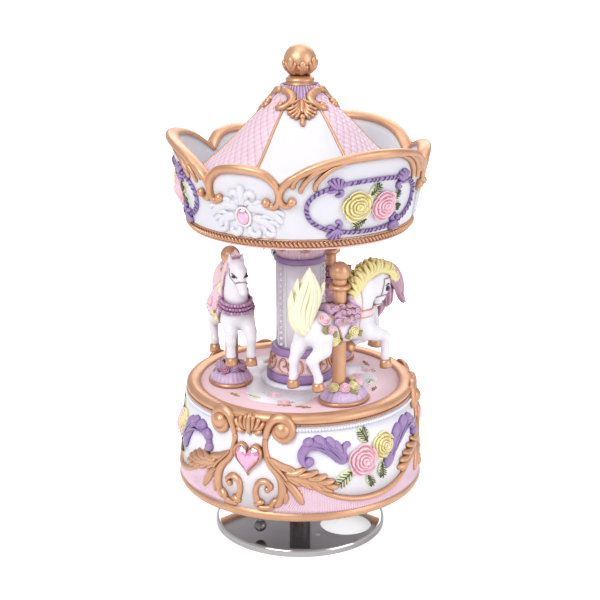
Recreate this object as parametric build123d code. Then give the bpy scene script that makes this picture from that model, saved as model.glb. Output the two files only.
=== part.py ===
"""Carousel music box: a cast resin carousel that turns on a steel stand disc, with its wind-up movement.

Frame: +Z up, origin on the table under the middle of the stand disc, -Y towards the front. Millimetres.
An azimuth is an angle about +Z counted from the front (-Y) towards +X, in degrees.
"""

import os
from math import atan2, cos, degrees, hypot, pi, radians, sin, sqrt

from build123d import *

# ---- driving dimensions -------------------------------------------------------------------------
TOTAL_H = 179.0
BASE_R = 45.0  # widest radius of the drum's foot moulding
STAND_R = 31.7
STAND_H = 2.8
DRUM_BOTTOM = 19.8
DECK_Z = 56.9
RIM_TOP = 58.1
CANOPY_BOTTOM = 116.3
CANOPY_R = 39.0
CROWN_SLOPE = 0.2  # radius gained per millimetre of height
VALLEY_Z = 138.0
LARGE_LOBE_Z = 147.6
SMALL_LOBE_Z = 143.4

RUNNING = 0.05  # radial clearance of a running fit
WALL = 2.6

# three-fold layout of the decoration, as azimuths of the first of three
HORSE_AZ = 35.0
HEART_AZ = -24.5
LARGE_LOBE_AZ = 33.5
SMALL_LOBE_AZ = -26.5
LARGE_LOBE_HALF = 42.4
SMALL_LOBE_HALF = 16.8

# drum, column and canopy
DECK_H = 3.0
DECK_HOLE_R = 6.0
COVER_Z = 20.8
COVER_R = 39.5
COVER_SCREW_R = 1.4
COVER_SCREW_CIRCLE = 35.0
COVER_SCREW_TOP = 31.0
HEART_BACK = 43.0  # distance from the axis of the plane that the heart gems sit on
HEART_Z = 43.0
HEART_W = 8.9
HEART_THICK = 1.7
COLUMN_R = 8.8
PEG_R = 5.0
CEILING_H = 2.0
NECK = (6.2, 165.0)  # radius and height where the finial's collar stands on the tent
NECK_BORE = 2.5
PEG_LENGTH = 3.0
TENT_THICK = 1.8
BALL_R = 5.95
OVAL_Z = 127.0
OVAL = (2.1, 2.7)

# horses, poles and their feet
POLE_R = 2.4
# places of the poles and of their feet: along the horse's line, and out from the column
POLE_PLACES = ((-2.2, 27.0), (0.0, 27.0), (0.0, 25.0))
FOOT_PLACES = ((0.0, 27.0), (0.0, 27.0), (0.0, 25.5))
POLE_TOP = 107.9
POLE_BALL_R = 3.55
POLE_RING_Z = 99.0
HEADINGS = (0.0, 0.0, 10.0)  # turn of each horse about its own pole, towards the column
FOOT_HALF = (9.7, 8.1)  # half lengths of the oval foot
FOOT_PLATE_H = 1.5

# stand
SHEET = 0.8
POST_R = 4.0
POST_TOP = 22.0
WINDOW_R = 9.5
WINDOW_AT = (17.0, -9.8)
ARBOR_R = 2.0
WASHER_H = 0.95
STAND_SCREW_R = 1.5
ARBOR_LOW = 12.0
CLIP_Z = 42.6
CLIP_GROOVE_R = 1.6

# movement, in its own frame: the cylinder's axis runs along +X from the winding arbor
BEDPLATE_Z = 23.0
BEDPLATE_H = 2.0
DRIVE_MODULE = 0.6
CROWN_TEETH = 40
PINION_TEETH = 16
CROWN_PITCH_Z = 27.9
TRAIN_MODULE = 0.4
CYL_GEAR_TEETH = 36
GOV_PINION_TEETH = 10
GOV_WHEEL_TEETH = 24
DRUM_R = 5.2
DRUM_X = (17.4, 33.0)
TINES = 18
PINS_PER_TINE = 4
PIN_R = 0.16
CYL_AXLE_R = 1.0
GOV_AXLE_R = 0.7
COMB_FRONT = 12.6
COMB_BACK = 16.8
COMB_SCREW_Y = 15.1
TAPPED_R = 0.8  # holes that the small screws cut their thread in
STOP_AT = (-14.5, -20.0)  # the stop rod, in the object's frame
STOP_ROD_R = 1.0
STOP_HOLE_R = 2.2
KNOB_R = 2.3
KNOB_Z = 7.0

CROWN_R = DRIVE_MODULE * CROWN_TEETH / 2
PINION_R = DRIVE_MODULE * PINION_TEETH / 2
CYL_Z = CROWN_PITCH_Z + PINION_R
CYL_GEAR_R = TRAIN_MODULE * CYL_GEAR_TEETH / 2
GOV_PINION_R = TRAIN_MODULE * GOV_PINION_TEETH / 2
GOV_WHEEL_R = TRAIN_MODULE * GOV_WHEEL_TEETH / 2
GOV_RISE = 2.2
GOV_Y = -sqrt((CYL_GEAR_R + GOV_PINION_R + 0.08) ** 2 - GOV_RISE**2)
GOV_Z = CYL_Z + GOV_RISE
WORM_PITCH_R = 1.5
WORM_X = 9.4
WORM_Y = GOV_Y - GOV_WHEEL_R - WORM_PITCH_R - 0.1
FAN_TOP = 46.9
FAN_H = 4.6
HOUSING_TOP = 41.6
HOUSING_R = 9.4
HOUSING_LOW = 29.9
BRACKET_SHEET = 1.1
MOVEMENT_TURN = degrees(atan2(STOP_AT[1], STOP_AT[0]) - atan2(WORM_Y, WORM_X))
DECK_UNDER = DECK_Z - DECK_H


# ---- helpers ------------------------------------------------------------------------------------
def turned(points):
    """Solid of revolution about Z from (radius, height) corners."""
    corners = [(r, 0, z) for r, z in points]
    sides = [Line(a, b) for a, b in zip(corners, corners[1:] + corners[:1])]
    return revolve(make_face(Wire(sides)), Axis.Z, 360)


def rod(radius, low, high, at=(0, 0)):
    """Upright cylinder between two heights."""
    body = Cylinder(radius, high - low, align=(Align.CENTER, Align.CENTER, Align.MIN))
    return Pos(at[0], at[1], low) * body


def lying(radius, start, end, y, z):
    """Cylinder along +X between two x values."""
    body = Cylinder(radius, end - start, align=(Align.CENTER, Align.CENTER, Align.MIN))
    return Pos(start, y, z) * Rot(0, 90, 0) * body


def block(x, y, z):
    """Box between pairs of limits."""
    size = (x[1] - x[0], y[1] - y[0], z[1] - z[0])
    return Pos(x[0], y[0], z[0]) * Box(*size, align=(Align.MIN, Align.MIN, Align.MIN))


def around(shape, azimuth, count=3):
    """The shape turned to an azimuth and repeated evenly, as a list."""
    return [Rot(0, 0, azimuth + 360 * k / count) * shape for k in range(count)]


def in_movement(shape):
    """Carries a shape from the movement's frame to the object's."""
    return Rot(0, 0, MOVEMENT_TURN) * shape


def gear_face(module, teeth, pitch_share=0.36):
    """Outline of a spur gear with straight flanks and wide backlash; tooth 0 points along +X."""
    pitch_r = module * teeth / 2
    angle = 2 * pi / teeth
    rows = (
        (pitch_r - 1.2 * module, 0.27),
        (pitch_r, pitch_share / 2),
        (pitch_r + 0.55 * module, 0.12),
        (pitch_r + 0.95 * module, 0.07),
    )
    points = []
    for k in range(teeth):
        for radius, share in rows:
            points.append((radius, angle * (k - share)))
        for radius, share in reversed(rows):
            points.append((radius, angle * (k + share)))
    return make_face(Polyline([(r * cos(a), r * sin(a)) for r, a in points], close=True))


def gear_along_x(module, teeth, start, end, y, z, turn=0.0, bore=0.0):
    """Spur gear on an axis along +X."""
    face = gear_face(module, teeth)
    if bore:
        face -= Circle(bore)
    gear = extrude(face, end - start)
    return Pos(start, y, z) * Rot(0, 90, 0) * Rot(0, 0, turn) * gear


def capsule(a, b, ra, rb):
    """Round-ended limb between two points with a radius at each."""
    a, b = Vector(*a), Vector(*b)
    length = (b - a).length
    shaft = Cone(ra, rb, length, align=(Align.CENTER, Align.CENTER, Align.MIN))
    limb = Plane(origin=a, z_dir=(b - a)) * shaft
    return [limb, Pos(*a) * Sphere(ra), Pos(*b) * Sphere(rb)]


# ---- stand: the disc on the table, its post and the winding arbor -------------------------------
def stand_plate():
    plate = rod(STAND_R, 0, STAND_H)
    plate = fillet(plate.edges().group_by(Axis.Z)[-1], 1.2)
    plate -= rod(STAND_R - SHEET, 0, STAND_H - SHEET)
    plate -= rod(WINDOW_R, -1, STAND_H + 1, WINDOW_AT)
    return plate - rod(STAND_SCREW_R + 0.1, -1, STAND_H + 1)


def hub_post():
    post = rod(POST_R, STAND_H, POST_TOP)
    post -= rod(STAND_SCREW_R, STAND_H, ARBOR_LOW - 1.0)
    return post - rod(ARBOR_R, ARBOR_LOW, POST_TOP)


def hub_screw():
    seat = STAND_H - SHEET
    return rod(STAND_SCREW_R, seat, ARBOR_LOW - 1.5) + rod(2.8, 0.4, seat)


def thrust_washer():
    return rod(4.6, POST_TOP, POST_TOP + WASHER_H) - rod(ARBOR_R, POST_TOP, POST_TOP + WASHER_H)


def winding_arbor():
    arbor = rod(ARBOR_R, ARBOR_LOW, CLIP_Z + 1.2)
    return arbor - Pos(0, 0, CLIP_Z) * (Cylinder(3, 0.5) - Cylinder(CLIP_GROOVE_R, 0.5))


def arbor_clip():
    ring = Pos(0, 0, CLIP_Z) * (Cylinder(3.4, 0.4) - Cylinder(CLIP_GROOVE_R, 0.4))
    return ring - Pos(2.5, 0, CLIP_Z) * Box(5, 2.4, 1)


def great_wheel():
    """Face gear: a disc with radial teeth standing on its top."""
    root_z = CROWN_PITCH_Z - 1.2 * DRIVE_MODULE
    tip_z = CROWN_PITCH_Z + 0.9 * DRIVE_MODULE
    inner, outer = CROWN_R - 0.9, CROWN_R + 0.9
    disc = rod(outer, root_z - 1.2, root_z) - rod(ARBOR_R, 0, 60)
    disc += rod(3.4, root_z - 1.6, root_z + 1.0) - rod(ARBOR_R, 0, 60)
    pitch = pi * DRIVE_MODULE
    sides = ((root_z - 0.2, 0.27), (CROWN_PITCH_Z, 0.18), (tip_z, 0.07))
    left = [(-share * pitch, z) for z, share in sides]
    right = [(share * pitch, z) for z, share in reversed(sides)]
    outline = make_face(Plane.YZ.offset(inner) * Polyline(left + right, close=True))
    tooth = extrude(outline, outer - inner, dir=(1, 0, 0))
    return disc + [Rot(0, 0, 360 * k / CROWN_TEETH) * tooth for k in range(CROWN_TEETH)]


# ---- movement -----------------------------------------------------------------------------------
def bedplate():
    plate = block((-18.5, 37.5), (-19.4, 17.4), (BEDPLATE_Z, BEDPLATE_Z + BEDPLATE_H))
    plate &= rod(37.6, BEDPLATE_Z, BEDPLATE_Z + BEDPLATE_H)
    plate -= rod(ARBOR_R + RUNNING, 0, 60)
    top = BEDPLATE_Z + BEDPLATE_H
    gear_gap = CYL_GEAR_R + 1.0
    plate -= block((13.1, 15.1), (-gear_gap, gear_gap), (top - 1.2, top + 1))
    for low, high in ((15.5, 16.9), (33.3, 34.5)):
        post = block((low, high), (-2.2, 2.2), (top, CYL_Z + 2.2))
        plate += post - lying(CYL_AXLE_R + RUNNING, low, high, 0, CYL_Z)
    pedestal = block(DRUM_X, (COMB_FRONT + 0.8, COMB_BACK), (top, CYL_Z - 0.3))
    for x in comb_screw_x():
        pedestal -= rod(TAPPED_R, top + 2, CYL_Z, (x, COMB_SCREW_Y))
    plate += pedestal
    for at in bed_screws():
        plate -= rod(1.3, 0, 60, at)
    for at in bracket_screw_places():
        plate -= rod(TAPPED_R, top - 1.5, top, at)
    return plate


def bed_screws():
    return ((-13.0, 13.0), (-13.0, -13.0), (30.5, -13.5))


def comb_screw_x():
    middle = (DRUM_X[0] + DRUM_X[1]) / 2
    return (middle - 4.5, middle + 4.5)


def housing_legs():
    reach = CROWN_R + 3.0
    return [(reach * cos(radians(a)), reach * sin(radians(a))) for a in (100, 180, 260)]


def spring_housing():
    """Cup that holds the mainspring over the great wheel, on three legs."""
    low, high, radius = HOUSING_LOW, HOUSING_TOP, HOUSING_R
    cup = rod(radius, low, high) - rod(radius - 0.8, low - 1, high - 1.0)
    cup -= rod(ARBOR_R + RUNNING, 0, 60)
    for x, y in housing_legs():
        angle = degrees(atan2(y, x))
        reach = hypot(x, y)
        ear = block((radius - 0.4, reach), (-1.6, 1.6), (high - 1.6, high))
        leg = rod(1.6, BEDPLATE_Z + BEDPLATE_H, high, (reach, 0))
        cup += Rot(0, 0, angle) * (ear + leg)
        cup -= rod(TAPPED_R, high - 7.0, high, (x, y))
    return cup


def small_screw(shank_r, head_r, length, head_h, seat_z, at):
    """Pan-head screw with its head standing on a seat."""
    return rod(shank_r, seat_z - length, seat_z, at) + rod(head_r, seat_z, seat_z + head_h, at)


def housing_screws():
    return [small_screw(0.75, 1.5, 6.0, 1.2, HOUSING_TOP, at) for at in housing_legs()]


def mainspring():
    """Strip wound as half rings on two centres, each half turn one step wider."""
    strip, step = 0.3, 1.1
    low, high = HOUSING_LOW + 0.7, HOUSING_TOP - 1.8
    half_turns = 10
    radius = 2.9
    coil = []
    for k in range(half_turns):
        centre = 0 if k % 2 == 0 else step / 2
        ring = Pos(centre, 0) * (Circle(radius + strip / 2) - Circle(radius - strip / 2))
        side = 10 if k % 2 == 0 else -10
        coil.append(ring & Pos(0, side) * Rectangle(40, 20))
        radius += step / 2
    face = coil[0]
    for ring in coil[1:]:
        face += ring
    return Pos(0, 0, low) * extrude(face, high - low)


def cylinder_drum():
    start, end = DRUM_X
    drum = lying(DRUM_R, start, end, 0, CYL_Z) - lying(CYL_AXLE_R, start, end, 0, CYL_Z)
    step = (end - start) / TINES
    pins = []
    for track in range(TINES):
        for note in range(PINS_PER_TINE):
            angle = (track * 83 + note * 97) % 360
            if 245 < angle < 295:  # no pin stands at the comb's tips at rest
                angle += 60
            pin = Pos(start + step * (track + 0.5), 0, CYL_Z) * Rot(angle, 0, 0) * Pos(0, 0, DRUM_R)
            pins.append(pin * Cylinder(PIN_R, 0.9))
    return drum + pins


def cylinder_arbor():
    return lying(CYL_AXLE_R, 10.6, 35.0, 0, CYL_Z)


def drive_pinion():
    turn = 180 + 180 / PINION_TEETH  # a gap faces the great wheel's tooth
    return gear_along_x(DRIVE_MODULE, PINION_TEETH, 11.3, 12.7, 0, CYL_Z, turn, CYL_AXLE_R)


def cylinder_gear():
    return gear_along_x(TRAIN_MODULE, CYL_GEAR_TEETH, 13.6, 14.6, 0, CYL_Z, mesh_turn()[0], CYL_AXLE_R)


def mesh_turn():
    """Turns of the cylinder gear and the governor pinion that put a tooth of one in a gap of the other."""
    line = degrees(atan2(GOV_Y, -GOV_RISE))
    half_gap = 180 / GOV_PINION_TEETH
    return line, line + 180 + half_gap


def comb():
    """Flat steel comb: one tine for each track, tips just clear of the pins."""
    start, end = DRUM_X
    low, high = CYL_Z - 0.3, CYL_Z + 0.5
    back = block((start, end), (COMB_FRONT, COMB_BACK), (low, high))
    for x in comb_screw_x():
        back -= rod(TAPPED_R + 0.05, 0, 60, (x, COMB_SCREW_Y))
    step = (end - start) / TINES
    tines = []
    for track in range(TINES):
        middle = start + step * (track + 0.5)
        tines.append(block((middle - 0.3, middle + 0.3), (DRUM_R + 0.65, COMB_FRONT), (low, low + 0.5)))
    return back + tines


def comb_screws():
    return [small_screw(TAPPED_R, 1.6, 3.0, 1.2, CYL_Z + 0.5, (x, COMB_SCREW_Y)) for x in comb_screw_x()]


def governor_bracket():
    """Stands beside the great wheel: two ears for the worm wheel's arbor and two arms for the worm."""
    top = BEDPLATE_Z + BEDPLATE_H
    wall_y = WORM_Y - 2.4
    foot = block((3.6, 14.6), (wall_y, WORM_Y + 0.9), (top, top + BRACKET_SHEET))
    wall = block((6.6, 12.2), (wall_y - BRACKET_SHEET, wall_y), (top, GOV_Z + 7.0))
    arm = block((WORM_X - 1.8, WORM_X + 1.8), (wall_y, WORM_Y + 1.6), (GOV_Z + 5.8, GOV_Z + 7.0))
    bracket = foot + wall + arm
    for low, high in ((6.6, 7.6), (11.2, 12.2)):
        bracket += block((low, high), (wall_y, GOV_Y + 1.6), (GOV_Z - 1.4, GOV_Z + 1.4))
    bracket -= lying(GOV_AXLE_R + RUNNING, 6.0, 12.6, GOV_Y, GOV_Z)
    for at in bracket_screw_places():
        bracket -= rod(TAPPED_R + 0.05, top, top + 2, at)
    return bracket - rod(GOV_AXLE_R + RUNNING, top, 60, (WORM_X, WORM_Y))


def bracket_screw_places():
    return ((4.9, WORM_Y - 0.9), (13.3, WORM_Y - 0.9))


def bracket_screws():
    seat = BEDPLATE_Z + BEDPLATE_H + BRACKET_SHEET
    return [small_screw(TAPPED_R, 1.4, 2.6, 1.0, seat, at) for at in bracket_screw_places()]


def governor_arbor():
    return lying(GOV_AXLE_R, 6.3, 15.2, GOV_Y, GOV_Z)


def governor_pinion():
    return gear_along_x(TRAIN_MODULE, GOV_PINION_TEETH, 13.4, 14.8, GOV_Y, GOV_Z, mesh_turn()[1], GOV_AXLE_R)


def governor_wheel():
    start, end = WORM_X - 0.5, WORM_X + 0.5
    return gear_along_x(TRAIN_MODULE, GOV_WHEEL_TEETH, start, end, GOV_Y, GOV_Z, 0, GOV_AXLE_R)


def worm_shaft():
    """Upright shaft with a single-start thread in mesh with the worm wheel."""
    pitch = pi * TRAIN_MODULE
    core = rod(0.95, GOV_Z - 4, GOV_Z + 4)
    shaft = rod(GOV_AXLE_R, BEDPLATE_Z + BEDPLATE_H + 0.2, FAN_TOP)
    turns = 5
    path = Helix(pitch, pitch * turns, 0.9)
    start = Plane(origin=path @ 0, x_dir=(1, 0, 0), z_dir=path % 0)
    outline = Polyline([(-0.15, -0.26), (0.92, -0.1), (0.92, 0.1), (-0.15, 0.26)], close=True)
    thread = sweep(start * make_face(outline), path=path, is_frenet=True)
    gap_at_wheel = turns / 2 + 0.25  # a gap of the thread faces a tooth of the wheel
    thread = Pos(0, 0, GOV_Z - pitch * gap_at_wheel) * thread
    return Pos(WORM_X, WORM_Y, 0) * (core + shaft + thread)


def fan():
    """Air brake: a hub with four blades and a friction disc on top."""
    low = FAN_TOP - FAN_H
    brake = rod(3.4, FAN_TOP - 0.8, FAN_TOP)
    blades = [Rot(0, 0, 90 * k) * block((1.2, 4.6), (-0.3, 0.3), (low, FAN_TOP - 0.8)) for k in range(4)]
    body = rod(1.5, low, FAN_TOP) + brake + blades
    return Pos(WORM_X, WORM_Y, 0) * (body - rod(GOV_AXLE_R, low, FAN_TOP))


def movement_screws():
    """Pan-head screws that hold the bedplate to the cover."""
    return [small_screw(1.25, 2.2, 4.0, 1.3, BEDPLATE_Z + BEDPLATE_H, at) for at in bed_screws()]


# ---- stop rod -----------------------------------------------------------------------------------
def stop_rod():
    """Rod from the knob up past the fan, with a finger over the fan's brake disc."""
    low = FAN_TOP + 0.2
    high = low + 1.6
    reach = hypot(*STOP_AT)
    fan_r = hypot(WORM_X, WORM_Y)
    finger = block((fan_r + 0.4, reach), (-1.0, 1.0), (low, high))
    shaft = rod(STOP_ROD_R, KNOB_Z, high, (reach, 0))
    return Rot(0, 0, degrees(atan2(STOP_AT[1], STOP_AT[0]))) * (shaft + finger)


def stop_knob():
    knob = Pos(*STOP_AT, KNOB_Z) * Sphere(KNOB_R)
    return knob - rod(STOP_ROD_R, KNOB_Z, KNOB_Z + 5, STOP_AT)


def stop_bush():
    low = COVER_Z - 0.6
    bush = rod(STOP_HOLE_R, low, BEDPLATE_Z, STOP_AT) + rod(3.0, low, COVER_Z, STOP_AT)
    return bush - rod(STOP_ROD_R + RUNNING, 0, 60, STOP_AT)


# ---- drum ---------------------------------------------------------------------------------------
def cover_screw_places():
    angles = (radians(a) for a in (70, 190, 310))
    return [(COVER_SCREW_CIRCLE * sin(a), -COVER_SCREW_CIRCLE * cos(a)) for a in angles]


def bottom_cover():
    cover = rod(COVER_R, COVER_Z, BEDPLATE_Z) - rod(6.5, 0, 60) - rod(STOP_HOLE_R, 0, 60, STOP_AT)
    for at in cover_screw_places():
        cover -= rod(COVER_SCREW_R + 0.1, 0, 60, at)
    for x, y in bed_screws():
        cover -= in_movement(rod(1.25, COVER_Z, 60, (x, y)))
    return cover


def cover_screws():
    low = COVER_Z
    screws = []
    for at in cover_screw_places():
        screws.append(rod(COVER_SCREW_R, low, COVER_SCREW_TOP, at) + rod(2.7, low - 0.9, low, at))
    return screws


def drum_outline():
    """Outer profile of the drum from the foot moulding up to the middle of the deck."""
    foot = [(BASE_R - 1.4, DRUM_BOTTOM), (BASE_R, 22.0), (BASE_R - 1.0, 24.2)]
    rim = [(41.0, 54.6), (41.2, 56.9), (38.4, RIM_TOP)]
    return foot, rim


def base_drum():
    """Hollow casting: foot moulding, wall, deck with its rim, and three screw bosses."""
    foot, rim = drum_outline()
    inner_low, inner_high = 39.7, 38.2

    def at(r, z):
        return (r, 0, z)

    outline = Wire([
        Line(at(inner_low, DRUM_BOTTOM), at(*foot[0])),
        ThreePointArc(at(*foot[0]), at(*foot[1]), at(*foot[2])),
        Line(at(*foot[2]), at(*rim[0])),
        ThreePointArc(at(*rim[0]), at(*rim[1]), at(*rim[2])),
        Line(at(*rim[2]), at(37.0, RIM_TOP)),
        Line(at(37.0, RIM_TOP), at(36.6, DECK_Z)),
        Line(at(36.6, DECK_Z), at(DECK_HOLE_R, DECK_Z)),
        Line(at(DECK_HOLE_R, DECK_Z), at(DECK_HOLE_R, DECK_UNDER)),
        Line(at(DECK_HOLE_R, DECK_UNDER), at(inner_high, DECK_UNDER)),
        Line(at(inner_high, DECK_UNDER), at(inner_high, BEDPLATE_Z)),
        Line(at(inner_high, BEDPLATE_Z), at(inner_low, BEDPLATE_Z)),
        Line(at(inner_low, BEDPLATE_Z), at(inner_low, DRUM_BOTTOM)),
    ])
    drum = revolve(make_face(outline), Axis.Z, 360)
    for place in cover_screw_places():
        boss = rod(3.4, BEDPLATE_Z, DECK_UNDER + 0.5, place)
        drum += boss
        drum -= rod(COVER_SCREW_R, BEDPLATE_Z, COVER_SCREW_TOP, place)
    seats = around(heart_solid(1.2, 41.4, HEART_BACK), HEART_AZ)
    for seat in seats:
        drum += seat
    return drum


def heart_solid(scale, near, far):
    """Heart outline on a plane facing the front, as a prism between two distances from the axis."""
    w = HEART_W / 2 * scale
    lobe = w * 0.54
    tip = (0, -1.5 * w)
    shape = make_face(Wire([
        Line(tip, (w, 0.25 * w)),
        ThreePointArc((w, 0.25 * w), (lobe, 0.95 * w), (0, 0.45 * w)),
        ThreePointArc((0, 0.45 * w), (-lobe, 0.95 * w), (-w, 0.25 * w)),
        Line((-w, 0.25 * w), tip),
    ]))
    plane = Plane(origin=(0, -near, HEART_Z), x_dir=(1, 0, 0), z_dir=(0, -1, 0))
    return extrude(plane * shape, far - near)


def heart_gems():
    return around(heart_solid(1.0, HEART_BACK, HEART_BACK + HEART_THICK), HEART_AZ)


# ---- column -------------------------------------------------------------------------------------
def column():
    """Round column with its moulded foot and a flared capital; pegs at both ends take the glue."""
    peg_top = CANOPY_BOTTOM + CEILING_H
    return turned([
        (0, DECK_UNDER), (DECK_HOLE_R, DECK_UNDER), (DECK_HOLE_R, DECK_Z), (14.0, DECK_Z), (14.0, 58.2),
        (12.1, 58.2), (12.1, 61.5), (11.8, 61.5), (10.3, 68.0), (10.5, 68.0), (10.5, 70.5), (COLUMN_R, 70.5),
        (COLUMN_R, 102.0), (9.2, 102.0), (9.2, 104.2), (COLUMN_R, 104.6), (9.2, 108.2), (10.8, 112.8),
        (13.2, CANOPY_BOTTOM), (PEG_R, CANOPY_BOTTOM), (PEG_R, peg_top), (0, peg_top),
    ])


# ---- canopy -------------------------------------------------------------------------------------
def crown_radius(z):
    """Outer radius of the flared crown at a height."""
    return CANOPY_R + CROWN_SLOPE * (z - CANOPY_BOTTOM)


def lobe(half_angle, height):
    """Prism facing the front whose outline is the upper half of an ellipse on a low plinth."""
    half = crown_radius(VALLEY_Z) * sin(radians(half_angle))
    plane = Plane(origin=(0, -30, VALLEY_Z), x_dir=(1, 0, 0), z_dir=(0, -1, 0))
    outline = Ellipse(half, height - VALLEY_Z) - Pos(0, -20) * Rectangle(200, 40)
    return extrude(plane * (outline + Pos(0, -0.5) * Rectangle(2 * half, 1)), 30)


def crown_band():
    """Flared band whose top edge rises in three large and three small lobes."""
    top = LARGE_LOBE_Z + 1
    shell = turned([
        (CANOPY_R - WALL, CANOPY_BOTTOM), (CANOPY_R, CANOPY_BOTTOM), (crown_radius(top), top),
        (crown_radius(top) - WALL, top),
    ])
    keep = rod(60, CANOPY_BOTTOM - 1, VALLEY_Z)
    for azimuth, half, height in (
        (LARGE_LOBE_AZ, LARGE_LOBE_HALF, LARGE_LOBE_Z),
        (SMALL_LOBE_AZ, SMALL_LOBE_HALF, SMALL_LOBE_Z),
    ):
        for prism in around(lobe(half, height), azimuth):
            keep += prism
    return shell & keep


def tent_shell():
    """Concave tent roof with a neck that takes the finial."""
    thick = TENT_THICK
    outer = [NECK, (9.4, 160.0), (13.6, 155.6), (18.4, 151.2), (28.6, 141.4), (41.0, 131.6)]
    inner = [(r - 0.7 * thick, z - thick) for r, z in reversed(outer[1:])]
    inner.append((NECK_BORE, NECK[1] - PEG_LENGTH))
    outer = [(r, 0, z) for r, z in outer]
    inner = [(r, 0, z) for r, z in inner]
    bore_top = (NECK_BORE, 0, NECK[1])
    outline = Wire([
        Spline(*outer),
        Line(outer[-1], inner[0]),
        Spline(*inner),
        Line(inner[-1], bore_top),
        Line(bore_top, outer[0]),
    ])
    return revolve(make_face(outline), Axis.Z, 360)


def canopy():
    """Hollow casting: the scalloped crown with the tent roof, open underneath."""
    return crown_band() + tent_shell()


def canopy_ceiling():
    """Disc glued in flush with the crown's lower edge, with a hole for the column's peg."""
    low = CANOPY_BOTTOM
    return rod(CANOPY_R - WALL, low, low + CEILING_H) - rod(PEG_R, low, low + CEILING_H)


def finial():
    """Ball on a stepped collar, with a peg that is glued into the roof's neck."""
    low = NECK[1]
    collar = turned([
        (0, low - PEG_LENGTH), (NECK_BORE, low - PEG_LENGTH), (NECK_BORE, low), (5.3, low), (5.3, low + 1.6),
        (4.5, low + 2.0), (4.7, low + 3.2), (4.0, low + 3.8), (0, low + 3.8),
    ])
    return collar + Pos(0, 0, TOTAL_H - BALL_R) * Sphere(BALL_R)


def oval_gems():
    """Oval stones on the small lobes, each lying on the flared wall."""
    place = (0, -crown_radius(OVAL_Z) - 0.1, OVAL_Z)
    plane = Plane(origin=place, x_dir=(1, 0, 0), z_dir=(0, -1, -CROWN_SLOPE))
    return around(extrude(plane * Ellipse(*OVAL), 1.4), SMALL_LOBE_AZ)


# ---- horses -------------------------------------------------------------------------------------
def on_deck(shape, index, place):
    """Carries a shape from a horse's frame (heading +X) to its place on the deck."""
    return Rot(0, 0, HORSE_AZ + 120 * index) * Pos(place[0], -place[1], 0) * shape


def horse_body():
    """Plain leaping horse: barrel, neck, head, four bent legs and a raised tail, bored for its pole."""
    barrel = capsule((-8.0, 0, 82.5), (8.5, 0, 83.0), 5.9, 5.7)
    neck = capsule((9.5, 0, 85.5), (14.5, 0, 98.5), 4.8, 3.2)
    head = capsule((15.0, 0, 99.5), (19.0, 0, 91.5), 3.2, 1.9)
    limbs = [
        ((-11.0, 2.8, 80.0), (-15.5, 3.0, 74.5), 3.8, 1.9),
        ((-15.5, 3.0, 74.5), (-15.0, 3.0, 65.2), 1.9, 1.7),
        ((-10.0, -2.8, 80.0), (-13.0, -3.0, 74.5), 3.8, 1.9),
        ((-13.0, -3.0, 74.5), (-8.5, -3.0, 63.8), 1.9, 1.7),
        ((10.0, 2.6, 81.0), (18.5, 2.8, 79.0), 3.2, 1.9),
        ((18.5, 2.8, 79.0), (18.2, 2.8, 69.0), 1.9, 1.7),
        ((10.0, -2.6, 80.5), (13.5, -2.8, 76.0), 3.2, 1.8),
        ((13.5, -2.8, 76.0), (6.5, -2.8, 72.0), 1.8, 1.6),
    ]
    tail = capsule((-12.5, 0, 85.0), (-18.0, 0, 92.0), 2.6, 3.6)
    pieces = barrel + neck + head + tail + capsule((-18.0, 0, 92.0), (-14.0, 0, 104.0), 3.6, 1.4)
    for a, b, ra, rb in limbs:
        pieces += capsule(a, b, ra, rb)
    body = pieces[0]
    for piece in pieces[1:]:
        body += piece
    return body - rod(POLE_R, 60, 110)


def horse_pole():
    """Pole with a ring and a ball, from inside its foot up through the horse."""
    ball = Pos(0, 0, POLE_TOP - POLE_BALL_R) * Sphere(POLE_BALL_R)
    ring = Pos(0, 0, POLE_RING_Z) * Torus(2.95, 0.85)
    return rod(POLE_R, DECK_Z + 1.0, POLE_TOP - POLE_BALL_R) + ring + ball


def pole_foot(index):
    """Oval domed foot glued to the deck, with a socket for its pole."""
    pole, foot = POLE_PLACES[index], FOOT_PLACES[index]
    socket = (pole[0] - foot[0], foot[1] - pole[1])
    plate = extrude(Pos(0, 0, DECK_Z) * Ellipse(*FOOT_HALF), FOOT_PLATE_H)
    dome = loft([
        Pos(0, 0, DECK_Z + FOOT_PLATE_H) * Ellipse(9.0, 7.4),
        Pos(0, 0, DECK_Z + 4.2) * Ellipse(7.2, 6.2),
        Pos(0, 0, DECK_Z + 6.4) * Ellipse(3.6, 3.4),
    ])
    return plate + dome - rod(POLE_R, DECK_Z + 1.0, 80, socket)


# ---- the assembly -------------------------------------------------------------------------------
def movement_parts():
    makers = (
        bedplate, spring_housing, mainspring, comb, governor_bracket, cylinder_drum, cylinder_arbor,
        drive_pinion, cylinder_gear, governor_arbor, governor_pinion, governor_wheel, worm_shaft, fan,
    )
    groups = (housing_screws, comb_screws, movement_screws, bracket_screws)
    parts = {make.__name__: in_movement(make()) for make in makers}
    parts.update({make.__name__: [in_movement(solid) for solid in make()] for make in groups})
    return parts


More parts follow.
